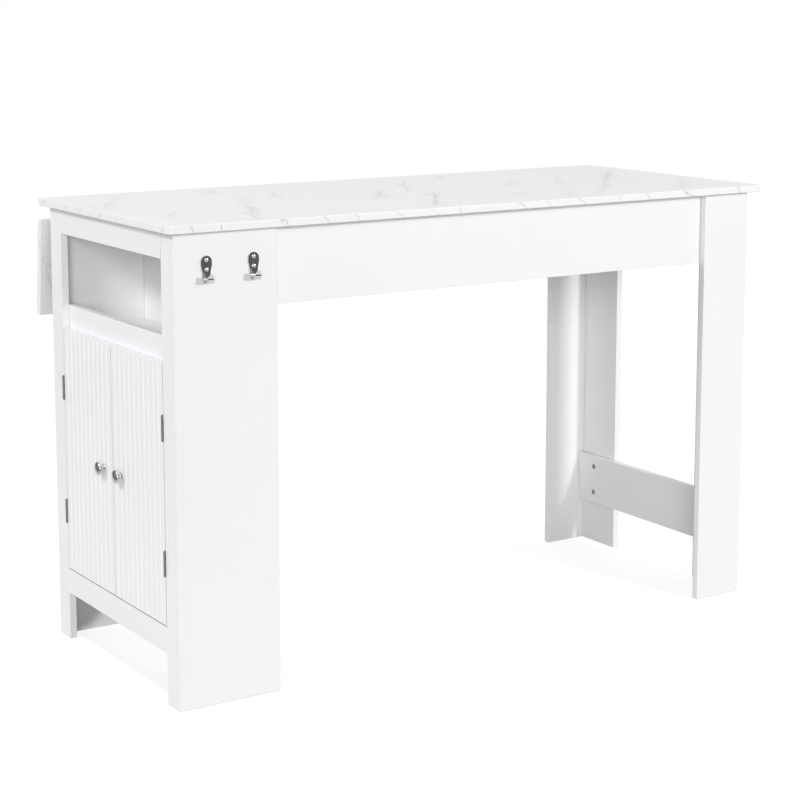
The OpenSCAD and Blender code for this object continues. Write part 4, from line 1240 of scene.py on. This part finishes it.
@dataclass
class Dressing:
    """Which finish each carried-over node gets."""

    other: str = "white_paint"
    chosen: Tuple[Tuple[str, Tuple[str, ...]], ...] = (
        ("cool_paint", ("door_front", "door_back", "niche_lip")),
        ("marble_top", ("table_top",)),
        ("marble_leaf", ("drop_leaf",)),
        ("bright_nickel", ("hook_screws", "pivot_pins", "strut_pins", "foot_pins")),
        ("satin_nickel", ("knob_front", "knob_back")),
        ("hook_metal", ("coat_hooks",)),
        ("dark_steel", ("stretcher_bolts", "hinge_frame_leaves", "hinge_frame_screws", "hinge_pins",
                        "hinge_leaves_front", "hinge_leaves_back", "hinge_screws_front",
                        "hinge_screws_back")),
        ("zinc_steel", ("shelf_pins", "stretcher_inserts", "cam_locks", "cam_bolts", "top_clips",
                        "top_clip_screws", "knob_screw_front", "knob_screw_back", "catch_screws",
                        "strike_front", "strike_back", "wall_arms", "wall_arm_screws", "leaf_arms",
                        "leaf_arm_screws", "struts")),
        ("dowel_wood", ("wood_dowels",)),
        ("catch_plastic", ("catch_housing",)),
        ("magnet", ("catch_magnets",)))

    def finish_of(self, node: str) -> str:
        """Returns the name of the finish of a node."""
        return next((finish for finish, names in self.chosen if node in names), self.other)

    def apply(self, nodes: dict, finishes: dict) -> None:
        """Puts each node's finish in its material slots.

        Args:
            nodes: The carried-over objects by name.
            finishes: The materials by name.
        """
        for name, obj in sorted(nodes.items()):
            material = finishes[self.finish_of(name)]
            if not obj.material_slots:
                obj.data.materials.append(material)
            for slot in obj.material_slots:
                slot.material = material


@dataclass
class DiningTable:
    """The dressed table: its finishes and its finer pieces."""

    leaf_lean_deg: float = 5.0
    leaf_print_shift: Point = (0.0, -0.35, 0.0)
    effects: Effects = field(default_factory=Effects)

    def finishes(self, joints: Sequence[dict]) -> dict:
        """Builds every finish.

        Args:
            joints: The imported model's joints, which give the leaf's pivot.

        Returns:
            The materials by name.
        """
        pivot = next(tuple(j["pos_m"]) for j in joints if j["name"] == "leaf_fold")
        made = (
            PaintedBoard("white_paint"),
            PaintedBoard("cool_paint", (0.892, 0.897, 0.912), (0.865, 0.87, 0.885)),
            MarbleLaminate("marble_top"),
            MarbleLaminate("marble_leaf", 90.0 - self.leaf_lean_deg, pivot, self.leaf_print_shift),
            PlatedMetal("bright_nickel", (0.66, 0.65, 0.64), (0.52, 0.51, 0.5), 0.12, 0.24),
            PlatedMetal("satin_nickel", (0.5, 0.5, 0.498), (0.38, 0.38, 0.38), 0.16, 0.26),
            PlatedMetal("hook_metal", (0.62, 0.62, 0.625), (0.5, 0.5, 0.505), 0.12, 0.2),
            PlatedMetal("dark_steel", (0.26, 0.26, 0.265), (0.18, 0.18, 0.18), 0.3, 0.45),
            PlatedMetal("zinc_steel", (0.6, 0.61, 0.63), (0.45, 0.46, 0.49), 0.3, 0.5),
            DowelWood("dowel_wood"),
            Moulded("catch_plastic", (0.84, 0.84, 0.83), (0.78, 0.78, 0.77), 0.45),
            Moulded("magnet", (0.08, 0.08, 0.085), (0.05, 0.05, 0.05), 0.5))
        return {finish.name: finish.build(self.effects) for finish in made}

    def build(self, frame: dict) -> None:
        """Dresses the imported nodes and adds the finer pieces.
        """
        finishes = self.finishes(frame["joints"])
        Dressing().apply(frame["nodes"], finishes)
        shop = Workshop()
        for maker, metal in ((DoorKnobs(), "satin_nickel"), (HookScrews(), "bright_nickel"),
                             (StretcherBolts(), "dark_steel")):
            for piece in maker.build(shop, finishes[metal]):
                LOG.info("%s: %d faces", piece.name, len(piece.data.polygons))


def main() -> None:
    """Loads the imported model, dresses it and sets its stage."""
    logging.basicConfig(level=logging.INFO, format="%(name)s: %(message)s")
    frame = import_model()
    PhotoCamera().build()
    Studio().build()
    bpy.context.scene.view_settings.view_transform = "Standard"
    DiningTable().build(frame)
    LOG.info("dressed %d nodes", len(frame["nodes"]))


if __name__ == "__main__":
    main()
